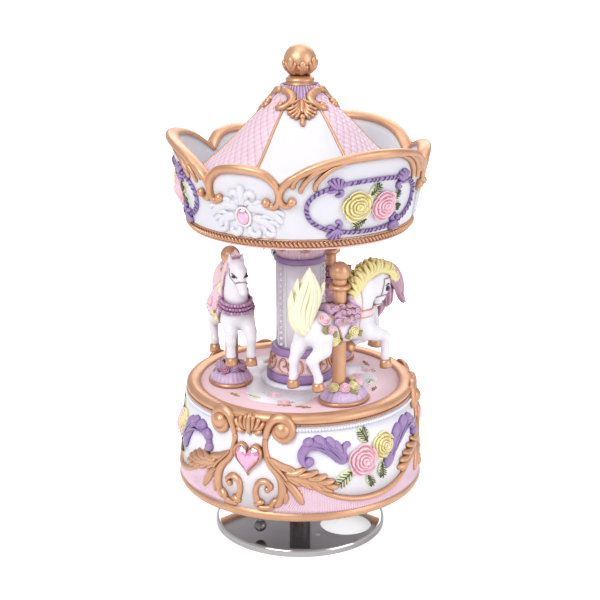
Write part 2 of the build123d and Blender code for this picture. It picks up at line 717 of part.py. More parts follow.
def all_parts():
    makers = (
        stand_plate, hub_post, hub_screw, thrust_washer, winding_arbor, arbor_clip, great_wheel, stop_rod,
        stop_knob, stop_bush, bottom_cover, cover_screws, base_drum, heart_gems, column, canopy,
        canopy_ceiling, finial, oval_gems,
    )
    parts = {make.__name__: make() for make in makers}
    parts.update(movement_parts())
    parts["great_wheel"] = in_movement(parts["great_wheel"])
    body, pole = horse_body(), horse_pole()
    for index, name in enumerate(("front", "rear", "left")):
        place = POLE_PLACES[index]
        parts[f"horse_{name}"] = on_deck(Rot(0, 0, HEADINGS[index]) * body, index, place)
        parts[f"pole_{name}"] = on_deck(pole, index, place)
        parts[f"pole_foot_{name}"] = on_deck(pole_foot(index), index, FOOT_PLACES[index])
    return parts


os.makedirs("parts", exist_ok=True)
for part_name, part in all_parts().items():
    shape = Compound(children=list(part)) if isinstance(part, list) else part
    export_step(shape, f"parts/{part_name}.step")
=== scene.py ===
"""Looks of the carousel music box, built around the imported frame. Lengths in this script are millimetres.

An azimuth is an angle about +Z counted from the front (-Y) towards +X, in degrees. A "surface" here is a
function (u, v, h) -> points: u and v are lengths along a wall and up it, h is the height off it.
"""

import math

import bmesh
import bpy
import numpy as np
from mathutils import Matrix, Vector


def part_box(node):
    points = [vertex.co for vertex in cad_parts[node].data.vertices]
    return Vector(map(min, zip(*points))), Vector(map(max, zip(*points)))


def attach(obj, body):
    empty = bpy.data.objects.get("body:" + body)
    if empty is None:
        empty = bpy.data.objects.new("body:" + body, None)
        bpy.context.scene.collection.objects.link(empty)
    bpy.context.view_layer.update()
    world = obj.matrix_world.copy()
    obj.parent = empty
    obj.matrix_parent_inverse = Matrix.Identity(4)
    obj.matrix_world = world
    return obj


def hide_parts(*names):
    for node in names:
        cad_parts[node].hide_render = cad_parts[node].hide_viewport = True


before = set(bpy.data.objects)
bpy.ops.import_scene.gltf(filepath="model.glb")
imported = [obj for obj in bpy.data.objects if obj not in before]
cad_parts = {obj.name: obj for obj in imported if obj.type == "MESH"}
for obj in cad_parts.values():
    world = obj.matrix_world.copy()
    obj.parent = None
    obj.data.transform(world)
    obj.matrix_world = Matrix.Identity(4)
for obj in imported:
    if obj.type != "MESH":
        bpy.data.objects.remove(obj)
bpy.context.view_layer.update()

MM = 0.001
BODY = "carousel"
RNG = np.random.default_rng(7)


def top(node):
    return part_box(node)[1].z / MM


def bottom(node):
    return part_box(node)[0].z / MM


def middle(node):
    low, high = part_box(node)
    return np.array(low + high) / 2 / MM


# ---- sizes taken from the frame -----------------------------------------------------------------
DRUM_LOW = bottom("base_drum")
FOOT_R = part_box("base_drum")[1].x / MM
DECK = bottom("pole_foot_front")
CROWN_LOW = bottom("canopy_ceiling")
PEAK = top("finial")
NECK_Z = top("canopy")
FOOT_X, FOOT_Y, _ = middle("pole_foot_front")
HORSE_AZ = round(math.degrees(math.atan2(FOOT_X, -FOOT_Y)), 1)

# ---- sizes of the decoration --------------------------------------------------------------------
LIP_TOP = DRUM_LOW + 4.4
WALL_LOW_R, WALL_TOP_R, WALL_TOP = FOOT_R - 1, 41.2, 55.0
DRUM_REF = 43.0  # radius at which lengths along the drum are counted
MOTIF_AZ = -24.5  # azimuth of the first heart on the drum
CROWN_LOW_R, CROWN_SLOPE = 39, 0.2
CROWN_REF = 41.5  # the same for the crown
SMALL_AZ, LARGE_AZ = -26.5, 33.5  # azimuths of the first small and large lobes of the crown
# (radius, height) down the roof from its neck
TENT = ((6, NECK_Z), (9.4, 160.2), (13.8, 156.2), (18.6, 151.6), (22.8, 147.1), (28.8, 141.4), (41, 131.6))
THIRDS = (0, 120, 240)
HEADINGS = (0, 0, 10)  # turn of the front, rear and left horse off the round
GROOVE_HALF = 0.28  # reach of a stroke's groove, as a share of its half width


# ---- mesh helpers -------------------------------------------------------------------------------
class Soup:
    """Closed surfaces of one material, gathered into one mesh.
    """

    def __init__(self, name, material, replaces=()):
        self.name, self.material, self.replaces = name, material, replaces
        self.points, self.quads, self.others, self.count = [], [], [], 0

    def add(self, points, quads=(), others=()):
        points = np.asarray(points, float).reshape(-1, 3)
        self.points.append(points)
        if len(quads):
            self.quads.append(np.asarray(quads, int) + self.count)
        self.others += [tuple(i + self.count for i in face) for face in others]
        self.count += len(points)

    def build(self):
        faces = [tuple(q) for block in self.quads for q in block.tolist()] + self.others
        mesh = bpy.data.meshes.new(self.name)
        mesh.from_pydata((np.concatenate(self.points) * MM).tolist(), [], faces)
        mesh.validate()
        work = bmesh.new()
        work.from_mesh(mesh)
        bmesh.ops.recalc_face_normals(work, faces=work.faces)
        work.to_mesh(mesh)
        work.free()
        mesh.materials.append(self.material)
        if self.material is not GEM:
            mesh.shade_smooth()
        piece = add_object(self.name, mesh)
        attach(piece, BODY)
        if self.material is GOLD:
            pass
        elif self.material is GEM:
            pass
        else:
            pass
        if self.replaces:
            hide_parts(*self.replaces)


def build_all(*soups):
    for soup in soups:
        soup.build()


def circle(count):
    """Angles spread evenly round a full turn."""
    return np.linspace(0, 2 * np.pi, count, endpoint=False)


def grid_quads(rows, cols, wrap_rows=False, wrap_cols=False):
    r = np.arange(rows if wrap_rows else rows - 1)
    c = np.arange(cols if wrap_cols else cols - 1)
    i, j = np.meshgrid(r, c, indexing="ij")
    i2, j2 = (i + 1) % rows, (j + 1) % cols
    return np.stack([i * cols + j, i2 * cols + j, i2 * cols + j2, i * cols + j2], -1).reshape(-1, 4)


def add_tube(soup, rings):
    """Rings of points, joined into a tube with its two ends closed."""
    rows, cols = rings.shape[:2]
    ends = [tuple(range(cols)), tuple((rows - 1) * cols + k for k in range(cols))]
    soup.add(rings, grid_quads(rows, cols, wrap_cols=True), ends)


def add_loop(soup, rings):
    """Rings of points, joined into a tube whose last ring meets the first."""
    soup.add(rings, grid_quads(*rings.shape[:2], wrap_rows=True, wrap_cols=True))


def add_slab(soup, upper, lower):
    """A sheet with thickness: two grids of the same size, closed along their borders."""
    rows, cols = upper.shape[:2]
    size = rows * cols
    faces = grid_quads(rows, cols)
    border = [(0, k) for k in range(cols)] + [(k, cols - 1) for k in range(1, rows)]
    border += [(rows - 1, k) for k in range(cols - 2, -1, -1)] + [(k, 0) for k in range(rows - 2, 0, -1)]
    index = np.array([a * cols + b for a, b in border])
    after = np.roll(index, -1)
    rim = np.stack([index, after, after + size, index + size], -1)
    soup.add(np.concatenate([upper.reshape(-1, 3), lower.reshape(-1, 3)]),
             np.concatenate([faces, faces[:, ::-1] + size, rim]))


def add_ring(soup, profile, wave=None, steps=256):
    """Closed (radius, height) outline turned about Z; wave(radians, radius, height) -> added radius."""
    profile = np.asarray(profile, float)
    az = circle(steps)[:, None]
    r, z = (np.repeat(profile[None, :, k], steps, 0) for k in (0, 1))
    if wave is not None:
        r = r + wave(az, r, z)
    add_loop(soup, np.stack([r * np.sin(az), -r * np.cos(az), z], -1))


def add_sheet(soup, surface, u, v, h, depth):
    """A sheet on a surface, from height h down to a depth below the surface."""
    add_slab(soup, surface(u, v, h), surface(u, v, h * 0 - depth))


def add_ball(soup, centre, radii, turn=None, rows=10, cols=16):
    """Ellipsoid; turn is a 3x3 matrix whose rows are its axes."""
    a = np.linspace(0.02, np.pi - 0.02, rows)[:, None]
    b = circle(cols)[None, :]
    unit = np.stack([np.sin(a) * np.cos(b), np.sin(a) * np.sin(b), np.cos(a) * np.ones_like(b)], -1)
    points = unit * np.asarray(radii, float)
    if turn is not None:
        points = points @ np.asarray(turn)
    add_tube(soup, points + np.asarray(centre, float))


def path_length(path):
    """Length of a path up to each of its points."""
    return np.concatenate([[0], np.cumsum(np.linalg.norm(np.diff(path, axis=0), axis=1))])


def unit_rows(vectors):
    return vectors / np.maximum(np.linalg.norm(vectors, axis=1), 1e-9)[:, None]


def smooth_path(points, step=0.5):
    """Points along a Catmull-Rom curve through the given ones, evenly spaced."""
    p = np.asarray(points, float)
    p = np.vstack([2 * p[0] - p[1], p, 2 * p[-1] - p[-2]])
    t = np.linspace(0, 1, 14, endpoint=False)[:, None]
    out = []
    for a, b, c, d in zip(p, p[1:], p[2:], p[3:]):
        square, cube = 2 * a - 5 * b + 4 * c - d, 3 * b - a - 3 * c + d
        out.append(0.5 * (2 * b + (c - a) * t + square * t**2 + cube * t**3))
    curve = np.vstack(out + [p[-2:-1]])
    length = path_length(curve)
    at = np.linspace(0, length[-1], max(4, int(length[-1] / step) + 1))
    return np.stack([np.interp(at, length, column) for column in curve.T], -1)


def along(values, count):
    """Widths given at even stations, spread smoothly over a path."""
    values = np.atleast_1d(np.asarray(values, float))
    if len(values) == 1:
        return np.full(count, values[0])
    t = np.linspace(0, len(values) - 1, count)
    k = np.minimum(t.astype(int), len(values) - 2)
    f = t - k
    f = f * f * (3 - 2 * f)
    return values[k] * (1 - f) + values[k + 1] * f


def end_factor(path, widths):
    """Rounds both ends of a stroke off."""
    length = path_length(path)
    near = np.minimum(length, length[-1] - length)
    inside = np.clip(1 - near / np.maximum(widths, 0.05), 0, 1)
    return np.maximum(np.sqrt(1 - inside**2), 0.12)


def dense_ends(path):
    """Adds stations near both ends so that the rounding is smooth."""
    first = path[0] + (path[1] - path[0]) * np.array([0, 0.12, 0.4])[:, None]
    last = path[-1] + (path[-2] - path[-1]) * np.array([0.4, 0.12, 0])[:, None]
    return np.vstack([first, path[1:-1], last])


def stroke(soup, surface, points, width, height, sink=0.5, base=0.0, sides=10, step=0.5, groove=0.0):
    """Raised band along a path on a surface. width is its half width, height how far it stands off."""
    path = dense_ends(smooth_path(points, step))
    w = along(width, len(path))
    fade = end_factor(path, w)
    w, h = w * fade, along(height, len(path)) * fade
    tangent = unit_rows(np.gradient(path, axis=0))
    normal = np.stack([-tangent[:, 1], tangent[:, 0]], -1)
    a = circle(sides)[None, :]
    across, lift = np.cos(a) * w[:, None], np.sin(a)
    up = np.where(lift > 0, lift * h[:, None], lift * sink)
    if groove:
        up = up - np.where(lift > 0, groove * h[:, None] * np.exp(-((np.cos(a) / GROOVE_HALF) ** 2)), 0)
    u, v = (path[:, k, None] + normal[:, k, None] * across for k in (0, 1))
    add_tube(soup, surface(u, v, base + up))


def hand_stroke(soup, surface, hand):
    """A stroke on one side of a motif: hand -1 mirrors its points."""
    def put(points, width, height, **extra):
        stroke(soup, surface, mirrored(points, hand), width, height, **extra)
    return put


def knob(soup, surface, u, v, h, size, **extra):
    """Ball on a surface, its centre at height h."""
    add_ball(soup, surface(np.array(u), np.array(v), np.array(h)).ravel(), (size,) * 3, **extra)


def cord(soup, points, radius, sides=8, step=0.5, up=(0, 0, 1)):
    """Round tube along a path in space; up is a way that the path stays well away from."""
    path = dense_ends(smooth_path(points, step))
    r = along(radius, len(path))
    r = r * end_factor(path, r)
    tangent = unit_rows(np.gradient(path, axis=0))
    side = np.cross(tangent, np.asarray(up, float))
    weak = np.linalg.norm(side, axis=1) < 0.05
    side[weak] = np.cross(tangent[weak], (1, 0, 0))
    side = unit_rows(side)
    other = np.cross(side, tangent)
    a = circle(sides)[None, :, None]
    add_tube(soup, path[:, None] + r[:, None, None] * (np.cos(a) * side[:, None] + np.sin(a) * other[:, None]))


def rope_ring(soup, path, radius, strands, pitch, sides):
    """Closed rope: strands wound about a level ring of points."""
    after = np.roll(path, -1, 0)
    tangent = unit_rows(after - np.roll(path, 1, 0))
    gaps = np.cumsum(np.linalg.norm(after - path, axis=1))
    length, total = np.concatenate([[0], gaps[:-1]]), gaps[-1]
    turns = round(total / pitch)
    out = path * (1, 1, 0)
    out = unit_rows(out - (out * tangent).sum(1)[:, None] * tangent)
    other = np.cross(tangent, out)
    a = circle(sides)[None, :, None]
    for k in range(strands):
        phase = 2 * np.pi * (turns * length / total + k / strands)[:, None]
        core = path + 0.52 * radius * (np.cos(phase) * out + np.sin(phase) * other)
        rings = core[:, None] + 0.78 * radius * (np.cos(a) * out[:, None] + np.sin(a) * other[:, None])
        add_loop(soup, rings)


def curl(centre, start, end, a0, a1, count):
    """Points of a spiral from radius start to radius end, angles in degrees from +u."""
    t = np.linspace(0, 1, count)
    r = start + (end - start) * t
    a = np.radians(a0 + (a1 - a0) * t)
    return [(centre[0] + x, centre[1] + y) for x, y in zip(r * np.cos(a), r * np.sin(a))]


def mirrored(points, side):
    return [(side * p[0],) + tuple(p[1:]) for p in points]


# ---- surfaces -----------------------------------------------------------------------------------
def wall(azimuth, radius_of, reference):
    """Upright round wall: u runs along it at a reference radius, v is the height."""
    def surface(u, v, h):
        a = math.radians(azimuth) + u / reference
        r = radius_of(v) + h
        return np.stack([r * np.sin(a), -r * np.cos(a), v + 0 * h], -1)
    return surface


def drum_radius(z):
    return WALL_LOW_R + (WALL_TOP_R - WALL_LOW_R) * (z - LIP_TOP) / (WALL_TOP - LIP_TOP)


def crown_radius(z):
    return CROWN_LOW_R + CROWN_SLOPE * (z - CROWN_LOW)


def on_drum(azimuth):
    return wall(azimuth, drum_radius, DRUM_REF)


def on_crown(azimuth):
    return wall(azimuth, crown_radius, CROWN_REF)


def facing(azimuth, distance, height=0.0):
    """Upright flat panel facing an azimuth."""
    a = math.radians(azimuth)
    out = np.array([math.sin(a), -math.cos(a), 0])
    side = np.array([math.cos(a), math.sin(a), 0])

    def surface(u, v, h):
        u, v, h = np.broadcast_arrays(u, v, h)
        points = u[..., None] * side + (distance + h)[..., None] * out
        points[..., 2] = v + height
        return points
    return surface


def on_deck(distance, azimuth, turn=0.0):
    """Level plane on the deck: its origin at a distance and an azimuth, u along the round plus a turn."""
    a, b = math.radians(azimuth), math.radians(azimuth + turn)
    x, y, c, s = distance * math.sin(a), -distance * math.cos(a), math.cos(b), math.sin(b)

    def surface(u, v, h):
        u, v, h = np.broadcast_arrays(u, v, h)
        return np.stack([x + c * u - s * v, y + s * u + c * v, DECK + h], -1)
    return surface


TENT_POINTS = smooth_path(TENT, 0.2)
TENT_LENGTH = path_length(TENT_POINTS)


def tent_radius(v):
    """Radius of the tent roof at a distance down its slope."""
    return np.interp(v, TENT_LENGTH, TENT_POINTS[:, 0])


def on_tent(azimuth):
    """Tent roof: v is the distance down the slope from the neck, u runs along it."""
    slope = unit_rows(np.gradient(TENT_POINTS, axis=0))

    def surface(u, v, h):
        u, v, h = np.broadcast_arrays(u, v, h)
        r, z, sr, sz = (np.interp(v, TENT_LENGTH, x) for x in (*TENT_POINTS.T, *slope.T))
        a = math.radians(azimuth) + u / np.maximum(r, 1)
        r = r - sz * h
        return np.stack([r * np.sin(a), -r * np.cos(a), z + sr * h], -1)
    return surface


# ---- materials ----------------------------------------------------------------------------------
def node_material(name, colour, dark, rough, metal=0.0, bump=0.15, grain=900.0, wash=90.0, wear=None, coat=0.0,
                  spread=0.35, under=0.0, crease=None):
    """Painted, moulded or metal finish: broad and fine colour change, grain in the bump, optional worn tint,
    optional painted shade in creases.
    """
    material = bpy.data.materials.new(name)
    material.use_nodes = True
    tree = material.node_tree
    nodes, links = tree.nodes, tree.links
    shader = nodes["Principled BSDF"]
    where = nodes.new("ShaderNodeTexCoord")

    def noise(scale, detail, rough_in=0.55):
        n = nodes.new("ShaderNodeTexNoise")
        n.inputs["Scale"].default_value = scale
        n.inputs["Detail"].default_value = detail
        n.inputs["Roughness"].default_value = rough_in
        links.new(where.outputs["Object"], n.inputs["Vector"])
        return n.outputs["Fac"]

    def ramp(value, low, high, a=0.0, b=1.0):
        r = nodes.new("ShaderNodeMapRange")
        for key, x in zip(("From Min", "From Max", "To Min", "To Max"), (low, high, a, b)):
            r.inputs[key].default_value = x
        links.new(value, r.inputs["Value"])
        return r.outputs["Result"]

    def mix(fac, a, b, mode="MIX"):
        m = nodes.new("ShaderNodeMix")
        m.data_type, m.blend_type = "RGBA", mode
        links.new(fac, m.inputs[0])
        for slot, x in ((6, a), (7, b)):
            if isinstance(x, tuple):
                m.inputs[slot].default_value = (*x, 1)
            else:
                links.new(x, m.inputs[slot])
        return m.outputs[2]

    broad = noise(wash, 3)
    fine = noise(grain, 4, 0.65)
    tint = mix(ramp(broad, 0.5 - spread, 0.5 + spread), dark, colour)
    # painted shade: an ambient-occlusion mask darkens the colour towards the crease colour in creases, hollows
    # and under reliefs
    if crease:
        crease_shade_ao = nodes.new("ShaderNodeAmbientOcclusion")
        crease_shade_ao.inputs["Distance"].default_value = 1.4 * MM
        crease_shade_ao.samples = 6
        tint = mix(ramp(crease_shade_ao.outputs["AO"], 0.45, 0.95), crease, tint)
    if wear:
        tint = mix(ramp(noise(wash * 5, 5, 0.7), 0.66, 0.8, 0, 0.75), tint, wear)
    links.new(tint, shader.inputs["Base Color"])
    links.new(ramp(fine, 0.3, 0.7, rough * 0.85, min(1, rough * 1.2)), shader.inputs["Roughness"])
    shader.inputs["Metallic"].default_value = metal
    shader.inputs["Coat Weight"].default_value = coat
    shader.inputs["Coat Roughness"].default_value = 0.12
    if under:
        shader.inputs["Subsurface Weight"].default_value = under
        shader.inputs["Subsurface Radius"].default_value = (1, 0.7, 0.6)
        shader.inputs["Subsurface Scale"].default_value = 0.8 * MM
    relief = nodes.new("ShaderNodeBump")
    relief.inputs["Strength"].default_value = bump
    relief.inputs["Distance"].default_value = 0.12 * MM
    links.new(fine, relief.inputs["Height"])
    links.new(relief.outputs["Normal"], shader.inputs["Normal"])
    return material


def paint(name, colour, dark, rough=0.36, **extra):
    return node_material(name, colour, dark, rough, **{"coat": 0.25, "under": 0.08, **extra})


# each crease colour below is painted shade, laid by the ambient-occlusion mask into creases and hollows; on the
# gold it is partly also the dark antiquing in its hollows
GOLD = node_material("copper_gold_paint", (0.77, 0.455, 0.28), (0.58, 0.3, 0.165), 0.39, metal=0.72, bump=0.3,
                     crease=(0.38, 0.17, 0.08), wear=(0.95, 0.72, 0.48), coat=0.15)
WHITE = paint("white_glaze", (0.87, 0.86, 0.9), (0.8, 0.79, 0.86), 0.3, crease=(0.76, 0.74, 0.83))
# painted shade: the same white glaze as the drum, darkened for the crown wall, its white relief and the roof's
# white gores
TENT_WHITE_SHADED = paint("tent_white_shaded", (0.74, 0.735, 0.765), (0.69, 0.68, 0.735), 0.4, crease=(0.68, 0.66, 0.74))
# painted shade: the same pale pink as the drum, darkened for the roof's pink gores
TENT_PINK_SHADED = paint("tent_pink_shaded", (0.77, 0.6, 0.67), (0.72, 0.54, 0.62), 0.42, crease=(0.6, 0.38, 0.5))
CREAM = paint("cream_white", (0.9, 0.87, 0.86), (0.82, 0.78, 0.8), 0.42, crease=(0.6, 0.5, 0.52))
PINK = paint("pale_pink", (0.86, 0.66, 0.735), (0.81, 0.6, 0.685), 0.42, crease=(0.68, 0.42, 0.55))
QUILT = paint("quilting_pink", (0.64, 0.4, 0.52), (0.58, 0.34, 0.46), 0.5)
DECK_PINK = paint("deck_pink", (0.9, 0.66, 0.72), (0.84, 0.58, 0.66), 0.4)
ORCHID = paint("orchid", (0.68, 0.47, 0.65), (0.56, 0.36, 0.54), 0.42, crease=(0.34, 0.18, 0.34))
CLOTH = paint("cloth_lilac", (0.86, 0.79, 0.87), (0.8, 0.71, 0.83), 0.45, crease=(0.5, 0.36, 0.52))
LILAC = paint("lilac", (0.68, 0.51, 0.72), (0.57, 0.41, 0.63), 0.42, crease=(0.36, 0.24, 0.42))
PURPLE = paint("purple", (0.39, 0.255, 0.48), (0.3, 0.185, 0.4), 0.36, crease=(0.1, 0.05, 0.25))
DARK_VIOLET = paint("dark_violet", (0.07, 0.035, 0.15), (0.04, 0.02, 0.1), 0.4)
ROSE_PINK = paint("rose_pink", (0.93, 0.68, 0.74), (0.89, 0.6, 0.67), 0.4, crease=(0.8, 0.46, 0.55), under=0.15)
ROSE_YELLOW = paint("rose_yellow", (0.92, 0.87, 0.56), (0.88, 0.81, 0.46), 0.4, crease=(0.7, 0.6, 0.24),
                    under=0.15)
LEAF = paint("leaf_pale", (0.74, 0.76, 0.5), (0.64, 0.67, 0.4), 0.45)
VEIN = paint("leaf_vein", (0.07, 0.075, 0.03), (0.04, 0.045, 0.02), 0.5)
OLIVE = paint("olive", (0.36, 0.32, 0.1), (0.24, 0.2, 0.06), 0.45)
MAUVE = paint("mauve", (0.5, 0.26, 0.4), (0.4, 0.18, 0.32), 0.45, crease=(0.2, 0.07, 0.16))
HAIR_YELLOW = paint("hair_yellow", (0.9, 0.82, 0.42), (0.84, 0.72, 0.3), 0.45, crease=(0.56, 0.44, 0.12))
HAIR_PALE = paint("hair_pale", (0.92, 0.9, 0.69), (0.88, 0.84, 0.57), 0.45, crease=(0.66, 0.58, 0.28))
HAIR_MAUVE = paint("hair_mauve", (0.66, 0.43, 0.54), (0.54, 0.32, 0.43), 0.45, crease=(0.38, 0.18, 0.27))
HAIR_PEACH = paint("hair_peach", (0.88, 0.68, 0.7), (0.8, 0.56, 0.6), 0.45, crease=(0.62, 0.36, 0.4))
COAT = paint("horse_white", (0.84, 0.82, 0.86), (0.76, 0.72, 0.78), 0.4, crease=(0.52, 0.44, 0.52))
BLACK = paint("eye_black", (0.02, 0.018, 0.02), (0.012, 0.01, 0.012), 0.2)
GREY_LINE = paint("bridle_grey", (0.36, 0.28, 0.24), (0.26, 0.2, 0.17), 0.5)
GEM = node_material("pink_stone", (0.97, 0.6, 0.76), (0.9, 0.4, 0.62), 0.08, metal=0.6, bump=0.0, coat=0.6)


# ---- ornament -----------------------------------------------------------------------------------
LEAF_PAIRS = 5


def pinnate_leaf(pale, dark, surface, base, tip, width):
    """Leaf blade with a raised dark midrib and side veins."""
    base, tip = np.array(base, float), np.array(tip, float)
    line = tip - base
    length = np.hypot(*line)
    line /= length
    side = np.array([-line[1], line[0]])
    rows, cols = 15, 11
    t = np.linspace(0, 1, rows)[:, None]
    s = np.linspace(-1, 1, cols)[None, :]
    teeth = 1 + 0.16 * np.cos(2 * np.pi * t * (LEAF_PAIRS + 1)) * np.abs(s)
    half = width * np.sin(np.pi * np.clip(t, 0.02, 0.985) ** 0.85) ** 0.7 * teeth
    u = base[0] + line[0] * t * length + side[0] * half * s
    v = base[1] + line[1] * t * length + side[1] * half * s
    h = 0.35 + 0.45 * np.sin(np.pi * t) * (1 - 0.75 * s**2)
    add_sheet(pale, surface, u, v, h, 0.3)

    def vein(points, w):
        stroke(dark, surface, points, w, [0.3, 0.2], sink=0.35, base=0.72, sides=6, step=0.6)

    vein([base + line * length * 0.02, base + line * length * 0.5, base + line * length * 0.93], [0.32, 0.16])
    for k in range(LEAF_PAIRS):
        root = base + line * length * (0.14 + 0.66 * k / LEAF_PAIRS)
        reach = width * math.sin(math.pi * (0.2 + 0.6 * k / LEAF_PAIRS)) * 0.92
        for hand in (-1, 1):
            end = root + side * hand * reach + line * reach * 0.75
            vein([root, (root + end) / 2 + line * 0.08, end], [0.24, 0.13])


BIG_ROSE = ((1, 5, 0), (0.78, 4, 0.35), (0.57, 4, 0.8), (0.37, 3, 0.2), (0.2, 2, 0.6))
SMALL_ROSE = ((1, 5, 0), (0.66, 3, 0.35), (0.34, 2, 0.7))
PETAL = ((1, 0.8), (0.93, 1), (0.8, 0.95), (0.55, 0.6), (0.3, 0.22), (0.08, 0.02), (0, 0))


def rose(soup, surface, u0, v0, radius, turn=0.0, height=None, rings=BIG_ROSE, detail=90):
    """Rose of overlapping petals in rings, each with a rolled rim and a step down to the next ring out."""
    tall = 0.46 * radius if height is None else height
    a = circle(detail)

    def rim(k):
        if k == len(rings):
            return np.full(detail, 0.02)
        share, count, phase = rings[k]
        x = (a * count / (2 * np.pi) + phase + turn) % 1
        return share * (0.86 + 0.12 * np.sin(np.pi * x) ** 0.6 + 0.1 * (x - 0.5))

    def row(reach, h):
        return surface(u0 + radius * reach * np.cos(a), v0 + radius * reach * np.sin(a), h + 0 * a)

    rows = [row(rim(0) * 0.9, -0.4)]
    for k in range(len(rings)):
        share, count, phase = rings[k]
        x = (a * count / (2 * np.pi) + phase + turn) % 1
        ground = tall * (0.12 + 0.88 * (1 - share) ** 0.9)
        rise = tall * (0.42 - 0.12 * (1 - share)) * (0.8 + 0.35 * x)
        for q, lift in PETAL[: -1 if k == len(rings) - 1 else None]:
            rows.append(row(rim(k + 1) * (1 - q) + rim(k) * q, ground + rise * lift))
    add_tube(soup, np.array(rows))


def pearls(soup, surface, u0, u1, v, radius, pitch):
    for u in np.linspace(u0, u1, max(2, int(round((u1 - u0) / pitch)))):
        knob(soup, surface, u, v, 0.4 * radius, radius, rows=6, cols=8)


def bouquet(part):
    """The meshes of a painted bunch: pink roses, yellow roses, leaves and their veins."""
    kinds = (("pink_roses", ROSE_PINK), ("yellow_roses", ROSE_YELLOW), ("leaves", LEAF), ("leaf_veins", VEIN))
    return [Soup(f"{part}_{label}", tint) for label, tint in kinds]


# ---- drum ---------------------------------------------------------------------------------------
def swag(rel):
    """Rise of the swag line over its lowest point, at an angle past a motif in degrees."""
    return 5.5 * (np.abs(rel - 60) / 27) ** 2.2


def ribbed_panel(soup):
    """Ribbed band under the swag line, between the legs of two motifs."""
    full, inset, rib = np.radians(120) * DRUM_REF, 11.5, 0.85
    share = np.linspace(0, 1, 560)[None, :]
    t = np.linspace(0, 1, 9)[:, None]
    high = np.minimum(26.1 + swag(np.degrees((inset + (full - 2 * inset) * share) / DRUM_REF)), 35.4)
    v = (LIP_TOP - 0.9) * (1 - t) + high * t
    leg = np.interp(v, (23.3, 25.2, 28, 31, 34.5, 36), (9.2, 9.8, 11.6, 12.5, 12.2, 11.4))
    u = leg * (1 - share) + (full - leg) * share
    for third in THIRDS:
        add_sheet(soup, on_drum(MOTIF_AZ + third), u, v, 0.42 + 0.2 * np.cos(2 * np.pi * u / rib), 0.5)


def drum_body():
    white = Soup("drum_wall", WHITE, replaces=("base_drum",))
    inner_low, inner_high = 39.7, 38.2
    add_ring(white, [(drum_radius(LIP_TOP - 0.8), LIP_TOP - 0.8), (drum_radius(40), 40),
                     (drum_radius(WALL_TOP), WALL_TOP), (inner_high, WALL_TOP), (inner_high, LIP_TOP - 0.8)])
    white.build()
    gold = Soup("drum_gold_mouldings", GOLD)
    add_ring(gold, [(inner_low, DRUM_LOW), (FOOT_R - 1.7, DRUM_LOW), (FOOT_R - 0.6, DRUM_LOW + 0.6),
                    (FOOT_R, DRUM_LOW + 1.8), (FOOT_R - 0.12, DRUM_LOW + 2.7), (FOOT_R - 0.7, DRUM_LOW + 3.5),
                    (FOOT_R - 1, DRUM_LOW + 3.75), (FOOT_R - 0.95, DRUM_LOW + 4), (FOOT_R - 1.25, LIP_TOP),
                    (inner_low, LIP_TOP - 0.2)])
    rim = top("base_drum")
    add_ring(gold, [(36.4, DECK - 0.3), (36.5, DECK + 0.3), (36.9, DECK + 0.75), (37.8, rim - 0.15),
                    (38.9, rim), (40, rim - 0.18), (40.9, rim - 0.6), (41.5, rim - 1.25), (41.7, rim - 2),
                    (41.6, rim - 2.6), (41.3, rim - 3.1), (40.9, rim - 3.4), (40.2, rim - 3.5),
                    (37.5, rim - 3.2)])
    surface = on_drum(0)
    pearls(gold, surface, 0, 2 * np.pi * DRUM_REF, rim - 3.5, 0.42, 0.85)
    gold.build()
    deck = Soup("deck", DECK_PINK)
    add_ring(deck, [(9, DECK), (36.9, DECK), (36.9, DECK - 0.8), (inner_high, DECK - 1.4),
                    (inner_high, DECK - 3), (9, DECK - 3)])
    deck.build()
    beads = Soup("drum_pearls", WHITE)
    for third in THIRDS:
        pearls(beads, on_drum(MOTIF_AZ + third), 16.2, np.radians(120) * DRUM_REF - 16.2, 53.2, 0.62, 1.12)
    beads.build()
    ribs = Soup("drum_ribbed_band", PINK)
    ribbed_panel(ribs)
    ribs.build()


def heart_outline(width, count=72):
    """Heart curve about its own centre, scaled to a width."""
    t = circle(count)
    x = 16 * np.sin(t) ** 3
    y = 13 * np.cos(t) - 5 * np.cos(2 * t) - 2 * np.cos(3 * t) - np.cos(4 * t)
    return np.stack([x, (y + 2.2) * 1.2], -1) * width / 32


